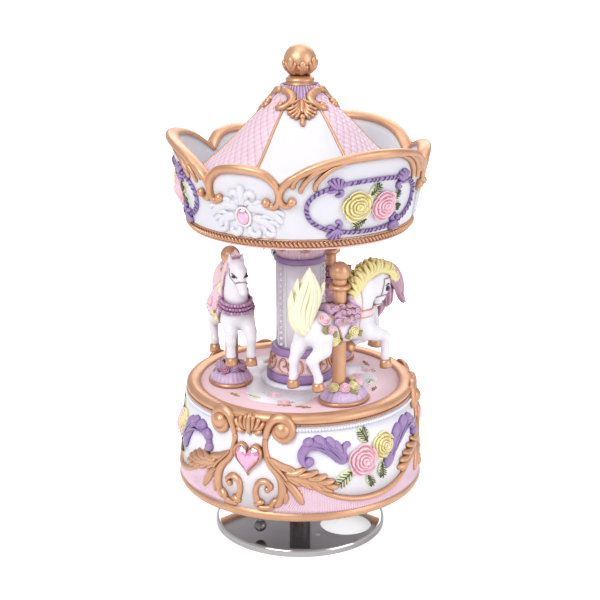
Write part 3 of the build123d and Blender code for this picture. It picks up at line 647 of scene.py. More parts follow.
def drum_motif():
    gold = Soup("drum_gold_scrolls", GOLD)
    band = [(6, 50), (5.9, 46.7), (6.6, 43.4), (8.2, 40.3), (10.6, 37.8), (12.3, 34.5), (12.5, 31), (11.6, 28),
            (9.8, 25.2)]
    scroll = [(6, 49), (6.6, 52.4), (8.2, 55.6), (10.6, 57), (13.4, 56.6), (15.2, 54.2), (14.9, 51.4),
              (12.6, 50), (10.3, 51), (9.7, 53), (10.8, 54.7), (12.4, 54.4)]
    leaves = [((13.2, 38.2), (17, 38), (20.9, 40)), ((17.2, 37.4), (21.4, 37.4), (24.9, 38.6)),
              ((20.6, 36.2), (24.8, 36), (28, 36.8)), ((24, 35), (27.6, 34.4), (30.6, 34.8)),
              ((26.8, 33.6), (29.8, 32.6), (32.2, 32.6))]
    under = [((13.8, 36.6), (16.6, 34.8), (19, 33.2)), ((17.4, 35.6), (20.6, 33.6), (23.2, 32)),
             ((21.6, 34.4), (24.8, 32.4), (27.2, 31.2)), ((25.4, 33.2), (28.2, 31.4), (30.2, 30.8))]
    for third in THIRDS:
        surface = on_drum(MOTIF_AZ + third)
        for hand in (-1, 1):
            put = hand_stroke(gold, surface, hand)
            put(band, [1.15, 1.1, 1.3, 1.6, 1.8, 1.5, 1.2], [1.1, 1.4, 1.6, 1.3])
            put([(7.4, 43.2), (9.4, 40.9), (11.9, 38.4), (14.2, 35.4)], [0.4, 0.5, 0.4], [0.5, 0.6, 0.4],
                base=1.3)
            put(scroll, [1, 1.7, 2, 1.9, 1.5, 1.1], [1.3, 2, 2.1, 1.9, 1.7])
            knob(gold, surface, hand * 12.2, 53.2, 0.2, 3.2, rows=14, cols=20)
            put(curl((12.2, 53.2), 2.5, 0.5, 160, -260, 18), [0.45, 0.55, 0.6], [0.5, 0.7, 0.9], base=2.0)
            put([(7.4, 42.6), (10.4, 40.6), (13.5, 39.4), (17, 38.6)], [0.8, 1.5, 1.5, 0.9], [1.1, 1.6, 1.4])
            put([(11.6, 37.8), (16.5, 36.6), (22, 35), (27, 33.4), (30.4, 32.2)], [1.8, 2.6, 2.5, 2, 0.8],
                [1, 1.4, 1.3, 0.9])
            for lobe in leaves:
                put(lobe, [0.9, 1.3, 0.7], [1.7, 2, 0.9])
            for lobe in under:
                put(lobe, [0.9, 1, 0.45], [1.4, 1.5, 0.7])
            put([(12.2, 36.5), (15, 33.6), (17.6, 30), (19.5, 26.7)], [0.9, 1.6, 1.7, 0.6], [1, 1.7, 1.4])
            put([(13, 35.2), (16.2, 31.4), (18.6, 28)], [0.25, 0.4, 0.2], [0.4, 0.5, 0.3], base=1.3)
            put([(12.4, 31.6), (13.6, 29.4), (13.2, 26.6)], [0.9, 1.2, 0.6], [1.2, 1.5, 1])
            put([(4.4, 25.2), (3.4, 27.6), (2.9, 30.3), (3.8, 33.2), (6.2, 34.2), (8.2, 32.7), (7.8, 31)],
                [1.5, 1.15, 1.05, 1.15, 1.1, 1], [1.1, 1.5, 1.6, 1.4])
            knob(gold, surface, hand * 7.2, 31.4, 0.5, 1.2)
            put([(2.6, 25), (4.2, 26.4), (6.4, 26.6)], [0.9, 1.2, 0.6], [1.4, 1.6, 1.1])
            put([(3.6, 24.8), (6.6, 24.7), (9.8, 25.4)], [1.3, 1.1, 1], [1.4, 1.3, 1.1])
            put([(8.2, 25), (9.4, 27.2), (11.2, 28.4)], [0.8, 1.1, 0.6], [1.4, 1.7, 1.2])
            for lobe in (((0.9, 51.6), (1.5, 54.4), (1.3, 57.6)), ((1.7, 51.8), (3.1, 54.2), (3.6, 57)),
                         ((2.2, 52.2), (4.4, 53.6), (5.7, 55.6)), ((1.6, 51.4), (3.6, 51.8), (5.2, 52.8))):
                put(lobe, [0.6, 1.1, 1], [1.3, 2, 1.6])
        stroke(gold, surface, [(0, 50.5), (0, 54), (0, 58.2)], [0.7, 1.2, 1.2], [1.5, 2.5, 1.6])
        stroke(gold, surface, [(0, 51.4), (0, 53.4), (0, 55.4)], [1.8, 3.6, 3], [0.9, 1.2, 1])
        line = [(np.radians(rel) * DRUM_REF, 26.3 + swag(rel)) for rel in np.linspace(26, 94, 15)]
        stroke(gold, surface, line, [0.8, 1, 1.05, 1, 0.8], [1, 1.15, 1])
    gold.build()


def heart_pieces():
    """Gold seats, bezels and cut pink hearts."""
    gold = Soup("heart_bezels", GOLD)
    low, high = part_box("heart_gems")
    centre_z = (low.z + high.z) / 2 / MM - 0.25
    outward, cut = 43, 18
    gems = Soup("heart_stones", GEM, replaces=("heart_gems",))
    for third in THIRDS:
        surface = facing(MOTIF_AZ + third, outward, centre_z)
        loops = [(11, -1.6), (11, 0.3), (10.7, 0.95), (10.1, 1.2), (9.4, 1.05), (8.8, 0.4)]
        rings_of = [surface(*heart_outline(w).T, np.full(72, h)) for w, h in loops]
        add_tube(gold, np.array(rings_of))
        steps = [(9.2, 0.3), (9.2, 0.9), (6.9, 2), (4.6, 2.4)]
        rows = []
        for n, (w, h) in enumerate(steps):
            outline = heart_outline(w, cut * 4)[(2 * (n % 2))::4]
            rows.append(surface(*outline.T, np.full(cut, h)))
        add_tube(gems, np.array(rows))
    build_all(gold, gems)


def drum_leaves():
    purple = Soup("drum_purple_scrolls", PURPLE)
    pink, yellow, pale, dark = bouquet("drum")
    for third in THIRDS:
        surface = on_drum(MOTIF_AZ + third)
        following = on_drum(MOTIF_AZ + third + 120)

        def acanthus(place, body, lobes, ball, small, grooves):
            stroke(purple, place, body, [1.6, 2.7, 2.8, 2.3, 1.8, 1.5, 1.3], [1.2, 1.9, 1.9, 1.7, 1.5])
            for lobe in lobes:
                stroke(purple, place, lobe, [1.2, 1.7, 1.3], [1.5, 2.1, 1.7])
            knob(purple, place, *ball, 0.5, 1.8)
            stroke(purple, place, small, [1.1, 1.2, 1.1], [1.3, 1.6, 1.4])
            for line in grooves:
                stroke(purple, place, line, [0.25, 0.4, 0.2], [0.5, 0.6, 0.3], base=1.7, sides=6)

        acanthus(surface, [(34.6, 40.2), (32.2, 43.6), (29, 46.4), (25.4, 48), (21.6, 47.6), (19.3, 45),
                           (19.2, 42.6), (20.8, 41), (22.2, 42)], [((30.8, 46), (29, 48.6), (27.2, 49.8)),
                                                                   ((27.2, 47.6), (25, 49.6), (22.8, 49.8)),
                                                                   ((23.6, 48.2), (21.6, 49), (19.6, 47.6)),
                                                                   ((33.2, 43.8), (31.8, 46.4), (30.2, 48.6))],
                 (21.6, 42), [(34, 43), (33.9, 45.6), (35.3, 47), (36.5, 46.2)],
                 [((33, 42.2), (30.2, 45.6), (27.4, 49)), ((31.6, 43), (28.2, 45.8), (24.6, 49)),
                  ((29.8, 44.6), (26, 46.6), (21.4, 48))])
        acanthus(following, [(-38.5, 34.5), (-36.6, 38), (-34.6, 41.6), (-31.6, 45), (-27.6, 47.2),
                             (-22.6, 46.8), (-18.8, 44.6), (-17.6, 42)],
                 [((-33.6, 43.4), (-32, 46.6), (-29.6, 48.6)), ((-30, 46.4), (-27.2, 48.8), (-24.4, 49)),
                  ((-25.4, 47.6), (-22.6, 48.6), (-20, 47.4)), ((-21.6, 46.6), (-19, 46.4), (-17.2, 44.4))],
                 (-17.6, 41.8), [(-35.4, 41), (-37, 43.8), (-38.6, 45.6)],
                 [((-36, 39), (-32.6, 44), (-28.4, 47.8)), ((-34.6, 40.2), (-30.6, 44.2), (-24.8, 47.8)),
                  ((-32.2, 42.4), (-27.6, 45.4), (-21.4, 46.4))])
        rose(pink, surface, 41.3, 40.3, 6, 0.4)
        rose(yellow, surface, 50.6, 43.6, 5.2, 1.4)
        for base, tip, width in (((43.6, 46.4), (40, 52.4), 2.3), ((37.6, 37.6), (30.2, 31.8), 2.4),
                                 ((49.6, 37.6), (49.8, 31.2), 2), ((43, 34.6), (45.6, 29.6), 1.6)):
            pinnate_leaf(pale, dark, surface, base, tip, width)
    build_all(purple, pink, yellow, pale, dark)


# ---- canopy crown -------------------------------------------------------------------------------
LARGE_EDGE = ((0, 147.6), (8, 147.2), (15, 146), (20.5, 144.2), (24.6, 142), (28, 139.6), (30.8, 137.4))
SMALL_EDGE = ((0, 143.4), (4, 143.1), (7.5, 142.2), (9.8, 140.6), (11.4, 138.6), (12.6, 137.4))


def crown_edge(azimuth):
    """Height of the crown's top edge at an azimuth in degrees."""
    from_large = abs((azimuth - LARGE_AZ + 60) % 120 - 60)
    from_small = abs((azimuth - SMALL_AZ + 60) % 120 - 60)
    large = np.interp(math.radians(from_large) * CROWN_REF, *np.array(LARGE_EDGE).T)
    small = np.interp(math.radians(from_small) * CROWN_REF, *np.array(SMALL_EDGE).T)
    return max(large, small) - 0.8


def crown_wall():
    white = Soup("crown_wall", TENT_WHITE_SHADED, replaces=("canopy",))
    az = np.arange(0, 360, 0.75)
    high = np.array([crown_edge(a) for a in az])[:, None]
    t = np.linspace(0, 1, 12)[None, :]
    z = CROWN_LOW * (1 - t) + high * t
    z = np.concatenate([z, z[:, ::-1]], 1)
    r = crown_radius(z)
    r[:, 12:] -= 2.5
    a = np.radians(az)[:, None]
    add_loop(white, np.stack([r * np.sin(a), -r * np.cos(a), z], -1))
    white.build()
    under = Soup("crown_under_rim", DECK_PINK)
    add_ring(under, [(36.6, CROWN_LOW - 0.25), (38.9, CROWN_LOW - 0.25), (39.4, CROWN_LOW + 0.2),
                     (39.3, CROWN_LOW + 0.9), (37, CROWN_LOW + 0.9)])
    under.build()


def crown_rolls():
    """Gold scrolled edge of every lobe, the feathering under the large ones and the rope round the foot."""
    gold = Soup("crown_gold_scrolls", GOLD)
    for third in THIRDS:
        large, small = on_crown(LARGE_AZ + third), on_crown(SMALL_AZ + third)
        for lobe, edge, wide in ((large, LARGE_EDGE, [1.3, 1.5, 1.75, 1.5, 1.3]),
                                 (small, SMALL_EDGE, [1.2, 1.5, 1.7, 1.5, 1.2])):
            stroke(gold, lobe, mirrored(edge[:0:-1], -1) + list(edge), wide, [1.2, 1.5, 1.6, 1.5, 1.2],
                   sink=3.3, sides=12)
        for hand in (-1, 1):
            on_large, on_small = hand_stroke(gold, large, hand), hand_stroke(gold, small, hand)
            on_large([(24, 142.6), (27.8, 140), (30, 137.4), (30.9, 134.6), (30, 132.2), (28, 131.6),
                      (26.8, 133)], [0.9, 1.35, 1.35, 1.2, 1.1], [1.3, 1.8, 1.9, 1.6], groove=0.2)
            knob(gold, large, hand * 26.8, 133.2, 0.9, 1.55)
            on_small([(7, 142.4), (10.4, 140), (12.2, 137), (12.5, 133.8), (11.3, 131.4), (9.4, 131.2),
                      (8.4, 132.4)], [0.9, 1.3, 1.3, 1.2, 1.1], [1.3, 1.8, 1.9, 1.6], groove=0.2)
            knob(gold, small, hand * 8.4, 132.6, 0.9, 1.55)
            for line in (((14, 145.6), (18.6, 143.4), (22, 140.6), (23.9, 137.6), (24, 135.9)),
                         ((9.5, 146.4), (14.8, 144), (18.4, 140.6), (19.6, 138), (19.2, 136.6)),
                         ((22.6, 143.2), (25.2, 141), (26.5, 138.8), (26, 137.4)),
                         ((17, 145), (20.6, 142.4), (22, 140.4))):
                on_large(line, [0.45, 0.85, 0.95, 0.8], [1, 1.5, 1.4, 0.9])
    az = circle(1320)
    ring = np.stack([39.4 * np.sin(az), -39.4 * np.cos(az), np.full_like(az, 118.15)], -1)
    rope_ring(gold, ring, 0.85, 2, 2.9, sides=10)
    gold.build()
    lines = Soup("crown_gold_lines", GOLD)
    for z in (116.85, 119.5):
        r = crown_radius(z) + 0.05
        add_ring(lines, [(r + 0.4 * math.cos(k), z + 0.32 * math.sin(k)) for k in circle(8)])
    lines.build()


def crown_small_relief():
    """White leaf relief round the oval stone on each small lobe."""
    white = Soup("crown_white_relief", TENT_WHITE_SHADED)
    ring = Soup("oval_bezels", CREAM)
    gems = Soup("oval_stones", GEM, replaces=("oval_gems",))
    for third in THIRDS:
        surface = on_crown(SMALL_AZ + third)
        for hand in (-1, 1):
            def put(points, width, height, **extra):
                stroke(white, surface, mirrored(points, hand), width, [0.72 * h for h in height], **extra)
            put([(1.6, 129.8), (4.6, 130.6), (8, 130), (11.2, 128), (13.6, 125.2)], [1, 2, 1.9, 1.3, 0.5],
                [1.2, 1.9, 1.9, 1.4], groove=0.35)
            put([(2.8, 126.6), (5.8, 126.4), (8.8, 124.8), (10.9, 122)], [0.9, 1.8, 1.5, 0.5], [1.1, 1.8, 1.4],
                groove=0.3)
            for lobe in (((3.4, 130.6), (5.4, 132.4), (7.8, 132.2)),
                         ((6.8, 130.8), (9.4, 131.8), (11.6, 130.6)),
                         ((9.8, 129.2), (12.2, 129.6), (14.2, 128)), ((5.4, 126.8), (8.2, 127.8), (11, 126.8)),
                         ((8, 125.6), (10.6, 125.8), (12.6, 124)), ((6.4, 125.2), (7.4, 123), (7, 121.2))):
                put(lobe, [0.6, 1, 0.45], [1, 1.7, 1.2])
            put([(2.4, 123.8), (1.9, 121.9), (3.4, 120.7), (5.2, 121.4), (4.6, 122.9)], [1.1, 1.2, 1.05],
                [1.3, 1.8, 1.5])
            put([(7.4, 122.6), (9.2, 121.2), (11, 122.2)], [0.8, 1.2, 0.8], [1.1, 1.7, 1.2])
            put([(0.7, 132.4), (1.9, 134.8), (3.7, 135), (4.1, 133.3)], [0.8, 1.35, 1], [1.2, 1.9, 1.5])
            put([(0.5, 131), (2.2, 132.3), (2.7, 130.9)], [0.7, 1, 0.7], [1.2, 1.6, 1.2])
        stroke(white, surface, [(0, 130.8), (0, 134.2), (0, 138.2)], [0.9, 1.3, 1.5, 0.5], [1.2, 2.1, 1.8])

        def oval(half_u, half_v, h, u):
            return surface(half_u * np.cos(u), 127.0 + half_v * np.sin(u), np.full_like(u, h))

        loops = [(3.1, 3.75, -0.4), (3, 3.65, 0.7), (2.6, 3.25, 1.15), (2.2, 2.85, 0.9), (2.05, 2.65, 0.2)]
        add_tube(ring, np.array([oval(*loop, circle(40)) for loop in loops]))
        cut = [(2.1, 2.7, 0.3, 0), (2.1, 2.7, 0.9, 0), (1.55, 2.1, 1.45, 0.26), (0.9, 1.35, 1.75, 0)]
        add_tube(gems, np.array([oval(a, b, h, circle(12) + turn) for a, b, h, turn in cut]))
    build_all(white, ring, gems)


def crown_cartouche():
    """Purple rope oval with shell clasps, roses and leaves on each large lobe."""
    purple, dashes = Soup("crown_purple_rope", PURPLE), Soup("crown_rope_dashes", DARK_VIOLET)
    pink, yellow, pale, dark = bouquet("crown")
    a = circle(160)
    half_u, half_v, centre = 22.2, 8.9, 130.3
    path_u = half_u * np.sign(np.cos(a)) * np.abs(np.cos(a)) ** 0.86
    path_v = centre + half_v * np.sign(np.sin(a)) * np.abs(np.sin(a)) ** 0.86
    b = circle(8)
    step_u, step_v = np.gradient(path_u), np.gradient(path_v)
    size = np.hypot(step_u, step_v)
    nu, nv = -step_v / size, step_u / size
    wave = (0.78 + 0.06 * np.sin(a * 38))[:, None] * np.cos(b)
    rope_u, rope_v = path_u[:, None] + nu[:, None] * wave, path_v[:, None] + nv[:, None] * wave
    length = path_length(np.stack([path_u, path_v], -1))
    for third in THIRDS:
        surface = on_crown(LARGE_AZ + third)
        add_loop(purple, surface(rope_u, rope_v, 0.25 + 0.85 * np.sin(b)[None] + 0 * rope_u))
        for at in np.arange(0.9, length[-1], 1.75):
            k = min(max(int(np.searchsorted(length, at)), 1), 158)
            su, sv = step_u[k] / size[k], step_v[k] / size[k]
            ends = [(path_u[k] + s * (0.7 * nu[k] + 0.45 * su),
                     path_v[k] + s * (0.7 * nv[k] + 0.45 * sv)) for s in (-1, 0, 1)]
            stroke(dashes, surface, ends, [0.2, 0.34, 0.2], [0.35, 0.45, 0.3], sink=0.4, base=0.84, sides=6,
                   step=0.3)
        for cu, cv, hand, up in ((-12.5, 137.6, -1, 1), (12.5, 137.6, 1, 1), (-12, 123, -1, -1),
                                 (12, 123, 1, -1)):
            def put(points, width, height):
                placed = [(cu + hand * x, cv + up * y) for x, y in points]
                stroke(purple, surface, placed, width, height)
            for tip in ((3.1, 2.6), (1.8, 3.4), (0.2, 3.6), (-1.4, 3), (-2.6, 1.9)):
                put([(0, -0.6), (tip[0] * 0.55, tip[1] * 0.45), tip], [0.5, 0.8, 0.65], [1.4, 1.9, 1.3])
            put([(-0.4, -0.4), (-1.6, -1.6), (-0.8, -2.8), (0.5, -2.4)], [0.8, 0.8, 0.6], [1.7, 1.6, 1.2])
            put([(0.4, -0.2), (2, -1.2), (3.4, -0.6)], [0.8, 0.8, 0.5], [1.7, 1.6, 1.2])
        rose(yellow, surface, -5.2, 130.6, 5.6, 0.2)
        rose(pink, surface, 5.6, 129.4, 5.5, 1.1)
        for base, tip, width in (((-0.9, 133.6), (3.6, 137.6), 1.9), ((9.8, 130), (13.4, 133.8), 1.6),
                                 ((11, 129.4), (14.4, 127), 1.4), ((-1, 125.8), (-6.6, 123.2), 1.9)):
            pinnate_leaf(pale, dark, surface, base, tip, width)
    build_all(purple, dashes, pink, yellow, pale, dark)


# ---- roof ---------------------------------------------------------------------------------------
WHITE_GORE_AZ, WHITE_HALF, PINK_HALF = 3.2, 32, 28.0
GORE_DEPTH = 1.6
QUILT_PITCH, QUILT_SLOPE = 3.3, 0.9
PLEATS = 44


def gore_grid(half, rows, cols):
    """Stations over a gore: lengths along and down it, and the share of its half width."""
    v = np.linspace(0.3, TENT_LENGTH[-1], rows)[:, None]
    share = np.linspace(-1, 1, cols)[None, :]
    return np.radians(half) * tent_radius(v) * share, v, share


def roof():
    deep = TENT_LENGTH[-1]
    white, gold = Soup("roof_white_gores", TENT_WHITE_SHADED), Soup("roof_gold", GOLD)
    quilting = Soup("roof_quilting", QUILT)
    for third in THIRDS:
        on_white, on_pink = on_tent(WHITE_GORE_AZ + third), on_tent(WHITE_GORE_AZ + third - 60)
        u, v, share = gore_grid(WHITE_HALF, 40, 25)
        add_sheet(white, on_white, u, v, -0.35 * (1 - share**2) + 0 * u, GORE_DEPTH)
        pink = Soup(f"roof_pink_gore_{int(third) // 120 + 1}", TENT_PINK_SHADED)
        u, v, share = gore_grid(PINK_HALF, 150, 150)
        rise, fall = (np.sin(np.pi * (u + way * v * QUILT_SLOPE) / QUILT_PITCH) for way in (1, -1))
        fade = np.clip((1 - np.abs(share)) * 8, 0, 1)
        add_sheet(pink, on_pink, u, v, 0.1 + 0.34 * np.sqrt(np.abs(rise * fall)) * fade, GORE_DEPTH)
        pink.build()
        v_line = np.linspace(2.5, deep - 1.5, 60)
        room = np.radians(PINK_HALF) * tent_radius(v_line) - 0.5
        for hand in (-1, 1):
            for start in np.arange(-28 * QUILT_PITCH, 29 * QUILT_PITCH, QUILT_PITCH):
                u_line = hand * (start - QUILT_SLOPE * v_line)
                keep = np.abs(u_line) < room
                if keep.sum() > 3:
                    line = np.stack([u_line, v_line], -1)[keep][::2]
                    stroke(quilting, on_pink, line, 0.24, 0.14, sink=0.3, base=0.1, sides=5, step=0.9)
        for edge in (-WHITE_HALF, WHITE_HALF):
            seam = on_tent(WHITE_GORE_AZ + third + edge)
            line = [(0, x) for x in np.linspace(5, deep - 1, 12)]
            stroke(gold, seam, line, [0.45, 0.5, 0.55], [0.5, 0.55], sides=8)
        for hand in (-1, 1):
            scroll = hand_stroke(gold, on_pink, hand)
            scroll([(0, 2), (2.8, 2.2), (5.4, 3.8), (6.6, 6.4), (5.8, 8.8), (4, 9.2), (3.2, 7.8)],
                   [1.5, 1.5, 1.45, 1.3, 1.1], [1.9, 1.9, 1.8, 1.6])
            knob(gold, on_pink, hand * 4, 7.9, 0.7, 1.25)
        for hand in (-1, 1):
            frond = hand_stroke(gold, on_white, hand)
            for line in (((0.4, 5.6), (2, 8.2), (4.4, 9.4), (5.4, 8.8)),
                         ((0.4, 6.4), (1.8, 9.4), (3.9, 10.9), (5.2, 10.6)),
                         ((0.3, 7.2), (1.4, 10.3), (3, 12), (4.2, 12)),
                         ((0.2, 8), (0.9, 10.8), (1.9, 12.6), (2.8, 13))):
                frond(line, [0.45, 0.75, 0.6], [1, 1.5, 1])
            frond([(0, 4.6), (2.6, 6.6), (4.8, 7.2), (6, 6)], [0.6, 0.7, 0.6], [1.1, 1.3, 1])
        stroke(gold, on_white, [(0, 5), (0, 8), (0, 11.4)], [0.7, 1.1, 0.6], [1.5, 2.1, 1.3])
        knob(gold, on_white, 0, 12.6, 0.5, 1.1)
        stroke(gold, on_white, [(0, 12.8), (0, 14.2), (0, 16.2)], [0.9, 1, 0.25], [1.4, 1.2, 0.5])
    build_all(white, gold, quilting)
    pleats = Soup("roof_pleated_collar", LILAC)
    for third in THIRDS:
        for half, long, cols, azimuth in ((34, 8.2, 180, WHITE_GORE_AZ), (28, 1.9, 120, WHITE_GORE_AZ - 60)):
            v = np.linspace(0, long, 12)[:, None]
            az = np.radians(np.linspace(-half, half, cols))[None, :]
            add_sheet(pleats, on_tent(azimuth + third), az * tent_radius(v), v,
                      0.5 + 0.3 * np.cos(PLEATS * az) + 0 * v, 0.4)
    pleats.build()


def finial_piece():
    gold = Soup("finial_ball", GOLD, replaces=("finial",))
    low, radius = NECK_Z, 5.65
    centre = PEAK - radius
    add_ring(gold, [(1, low - 0.6), (5.1, low - 0.4), (5.35, low + 0.2), (5.1, low + 0.85), (4.6, low + 1.05),
                    (5, low + 1.5), (5.05, low + 2), (4.5, low + 2.5), (3.8, low + 3.2), (1, low + 3.7)],
             steps=96)
    a = np.linspace(0.03, np.pi - 0.03, 28)[:, None]
    b = circle(48)[None, :]
    add_tube(gold, np.stack([radius * np.sin(a) * np.cos(b), radius * np.sin(a) * np.sin(b),
                             centre + radius * np.cos(a) + 0 * b], -1))
    for k in range(8):
        turn = 45 * k + 10

        def ball(u, v, h):
            """u is an azimuth length at the equator, v the height above the ball's centre."""
            drop = np.clip(v / radius, -0.999, 0.999)
            around = math.radians(turn) + u / radius
            reach = (radius + h) * np.sqrt(1 - drop**2)
            return np.stack([reach * np.sin(around), -reach * np.cos(around),
                             centre + v + 0 * reach + h * drop], -1)
        tall = 1.5 if k % 2 else 0.2
        stroke(gold, ball, [(0, -5.2), (0, -3), (0, -0.8), (0, tall)], [0.9, 1.5, 1.2, 0.5],
               [0.35, 0.6, 0.9, 1.1], groove=0.35)
        for hand in (-1, 1):
            stroke(gold, ball, [(0, -3.6), (hand * 1.2, -2), (hand * 2, tall - 1.6)], [0.5, 0.75, 0.35],
                   [0.4, 0.75, 0.9])
    gold.build()


# ---- column and deck ----------------------------------------------------------------------------
SHAFT_R = 8.75


def round_wall(azimuth, stations):
    """Upright wall whose radius is read off (height, radius) stations."""
    table = np.array(stations, float).T
    return wall(azimuth, lambda z: np.interp(z, *table), stations[0][1])


def column_pieces():
    white = Soup("column_shaft", WHITE, replaces=("column",))
    top_z = CROWN_LOW
    add_ring(white, [(6.2, DECK - 1), (14, DECK - 0.2), (14.1, DECK + 0.8), (13.6, DECK + 1.3),
                     (6.2, DECK + 1.3)], steps=96)
    add_ring(white, [(6, 69), (SHAFT_R, 69.5), (SHAFT_R, 103), (6, 103.5)], steps=96)
    shaft = [(60, SHAFT_R), (110, SHAFT_R)]
    for azimuth in (-48, 72, 192):
        for side in (-1.5, 1.5):
            surface = round_wall(azimuth + side * 9, shaft)
            stroke(white, surface, [(0, 71), (0, 86), (0, 101.5)], 0.32, 0.4, sides=6, step=2.0)
        surface = round_wall(azimuth, shaft)
        for z in np.arange(72, 101.8, 2.2):
            knob(white, surface, 0, z, 0.25, 0.72, rows=6, cols=8)
    white.build()
    purple = Soup("column_rings", PURPLE)
    for radius, low, high in ((12.3, DECK + 1.1, 61.6), (10.7, 67.8, 70.6), (9.4, 102, 104.3)):
        half = [(6, 0), (radius - 0.7, 0), (radius - 0.1, 0.5)]
        add_ring(purple, [(r, low + z) for r, z in half] + [(radius, (low + high) / 2)] +
                 [(r, high - z) for r, z in half[::-1]], steps=96)
    purple.build()
    pink = Soup("column_pink_parts", PINK)
    add_ring(pink, [(6, 61), (11.6, 61.2), (11.2, 63), (10.5, 65.5), (10.1, 68.2), (6, 68.4)], steps=96)
    add_ring(pink, [(5.5, 103.9), (8.5, 104.2), (8.9, 107), (9.9, 110.6), (11.6, 114), (12.9, top_z),
                    (5.5, top_z)], wave=lambda a, r, z: 0.16 * np.cos(44 * a) * (r > 8) * (z > 104.5),
             steps=352)
    pink.build()
    gold = Soup("column_gold_relief", GOLD)
    foot_wall = [(61, 11.6), (63, 11.2), (65.5, 10.5), (68, 10.1)]
    head_wall = [(104, 8.6), (107, 8.95), (110.6, 9.95), (114, 11.65), (116.3, 12.9)]
    for k in range(6):
        for hand in (-1, 1):
            put = hand_stroke(gold, round_wall(60 * k - 20, foot_wall), hand)
            put([(0.4, 62.2), (3, 62.4), (4.9, 63.9), (4.8, 66.2), (3.2, 67.2), (1.7, 66.2), (1.9, 64.7),
                 (3.1, 64.6)], [0.22, 0.34, 0.38, 0.34, 0.26], [0.5, 0.75, 0.6])
            put([(0.3, 63.2), (0.9, 64.6), (0.5, 66.8)], [0.22, 0.34, 0.2], [0.45, 0.65, 0.45])
        head = round_wall(60 * k + 12, head_wall)
        line = [(-4.6, 112.6), (-2.4, 109), (0, 107.4), (2.4, 109), (4.6, 112.6)]
        stroke(gold, head, line, [0.35, 0.5, 0.6, 0.5, 0.35], [0.55, 0.8, 0.9])
        stroke(gold, head, [(x, z + 1.2) for x, z in line], 0.28, 0.45)
        for hand in (-1, 1):
            hand_stroke(gold, head, hand)([(4.6, 112), (5.2, 113.8), (4.2, 114.8), (3.4, 113.9)],
                                          [0.5, 0.6, 0.45], [0.8, 1])
    gold.build()


def flower_slab(soup, outline, low, high):
    """Flat raised patch with a rounded rim; outline(angle) -> radius about the axis."""
    a = circle(240)
    r = outline(a)
    inner = np.full_like(a, 10)
    rings = [np.stack([s * np.sin(a), -s * np.cos(a), np.full_like(a, z)], -1)
             for s, z in ((inner, low), (r, low), (r, high - 0.12), (r - 0.25, high), (inner, high))]
    add_loop(soup, np.array(rings))


def deck_pieces():
    white = Soup("deck_white_flower", WHITE)
    between = math.radians(HORSE_AZ - 60)
    flower_slab(white, lambda a: 24.0 + 4.5 * np.cos(3 * (a - between)) + 0.8 * np.cos(9 * a), DECK - 0.3,
                DECK + 0.3)
    white.build()
    pink = Soup("deck_roses", ROSE_PINK)
    olive = Soup("deck_sprigs", OLIVE)
    leaf = Soup("deck_leaves", LEAF)
    for third in THIRDS:
        for distance, azimuth, size in ((21, -26, 2.7), (26.5, 108.0 - 120, 2.6)):
            rose(pink, on_deck(distance, azimuth + third), 0, 0, size, 0.5, height=0.9, rings=SMALL_ROSE,
                 detail=60)
        for distance, azimuth, turn, length in ((25.5, -33, 176, 6.5), (26, -14, 6, 5), (29.5, -3, -4, 5.5),
                                                (28.8, -48, 182, 5), (29, 104.0 - 120, 12, 5)):
            place = on_deck(distance, azimuth + third, turn)
            stroke(olive, place, [(0, 0), (0.4 * length, 0.4), (0.75 * length, -0.2), (length, 0.3)],
                   [0.2, 0.34, 0.12], [0.35, 0.45, 0.3])
            for x, y in ((0.3, 0.9), (0.5, -0.8), (0.7, 0.7)):
                stroke(olive, place, [(x * length - 0.7, 0.1), (x * length, 0.5 * y), (x * length + 0.5, y)],
                       [0.18, 0.3, 0.12], [0.35, 0.45, 0.3])
        place = on_deck(26, -37.0 + third)
        for base, tip in (((1.6, 0.6), (-2.4, 1.2)), ((1.6, -0.2), (-1.8, -1.6))):
            u = np.linspace(0, 1, 3)[:, None] * (np.array(tip) - base) + base
            stroke(leaf, place, u, [0.4, 0.95, 0.25], [0.4, 0.6, 0.35])
    build_all(pink, olive, leaf)


# ---- horse stands -------------------------------------------------------------------------------
NAMES = ("front", "rear", "left")


def carrier(node, azimuth):
    """Maps points of a frame at a node's middle: +X heads along the round at an azimuth, +Y to the column."""
    a = math.radians(azimuth)
    forward = np.array([math.cos(a), math.sin(a), 0])
    inward = np.array([-math.sin(a), math.cos(a), 0])
    centre = middle(node) * np.array([1, 1, 0])

    def place(points):
        return centre + np.asarray(points, float) @ np.array([forward, inward, (0, 0, 1)])
    return place


def heading(index):
    return HORSE_AZ + 120 * index + HEADINGS[index]


def plane_at(place, spot, way):
    """Small flat working surface in a horse's frame: u runs ahead, h along the way that it faces."""
    out = np.asarray(way, float) / np.linalg.norm(way)
    ahead = np.array([1, 0, 0]) - out[0] * out
    ahead /= np.linalg.norm(ahead)
    across = np.cross(out, ahead)

    def surface(u, v, h):
        u, v, h = np.broadcast_arrays(u, v, h)
        return place(np.asarray(spot) + u[..., None] * ahead + v[..., None] * across + h[..., None] * out)
    return surface


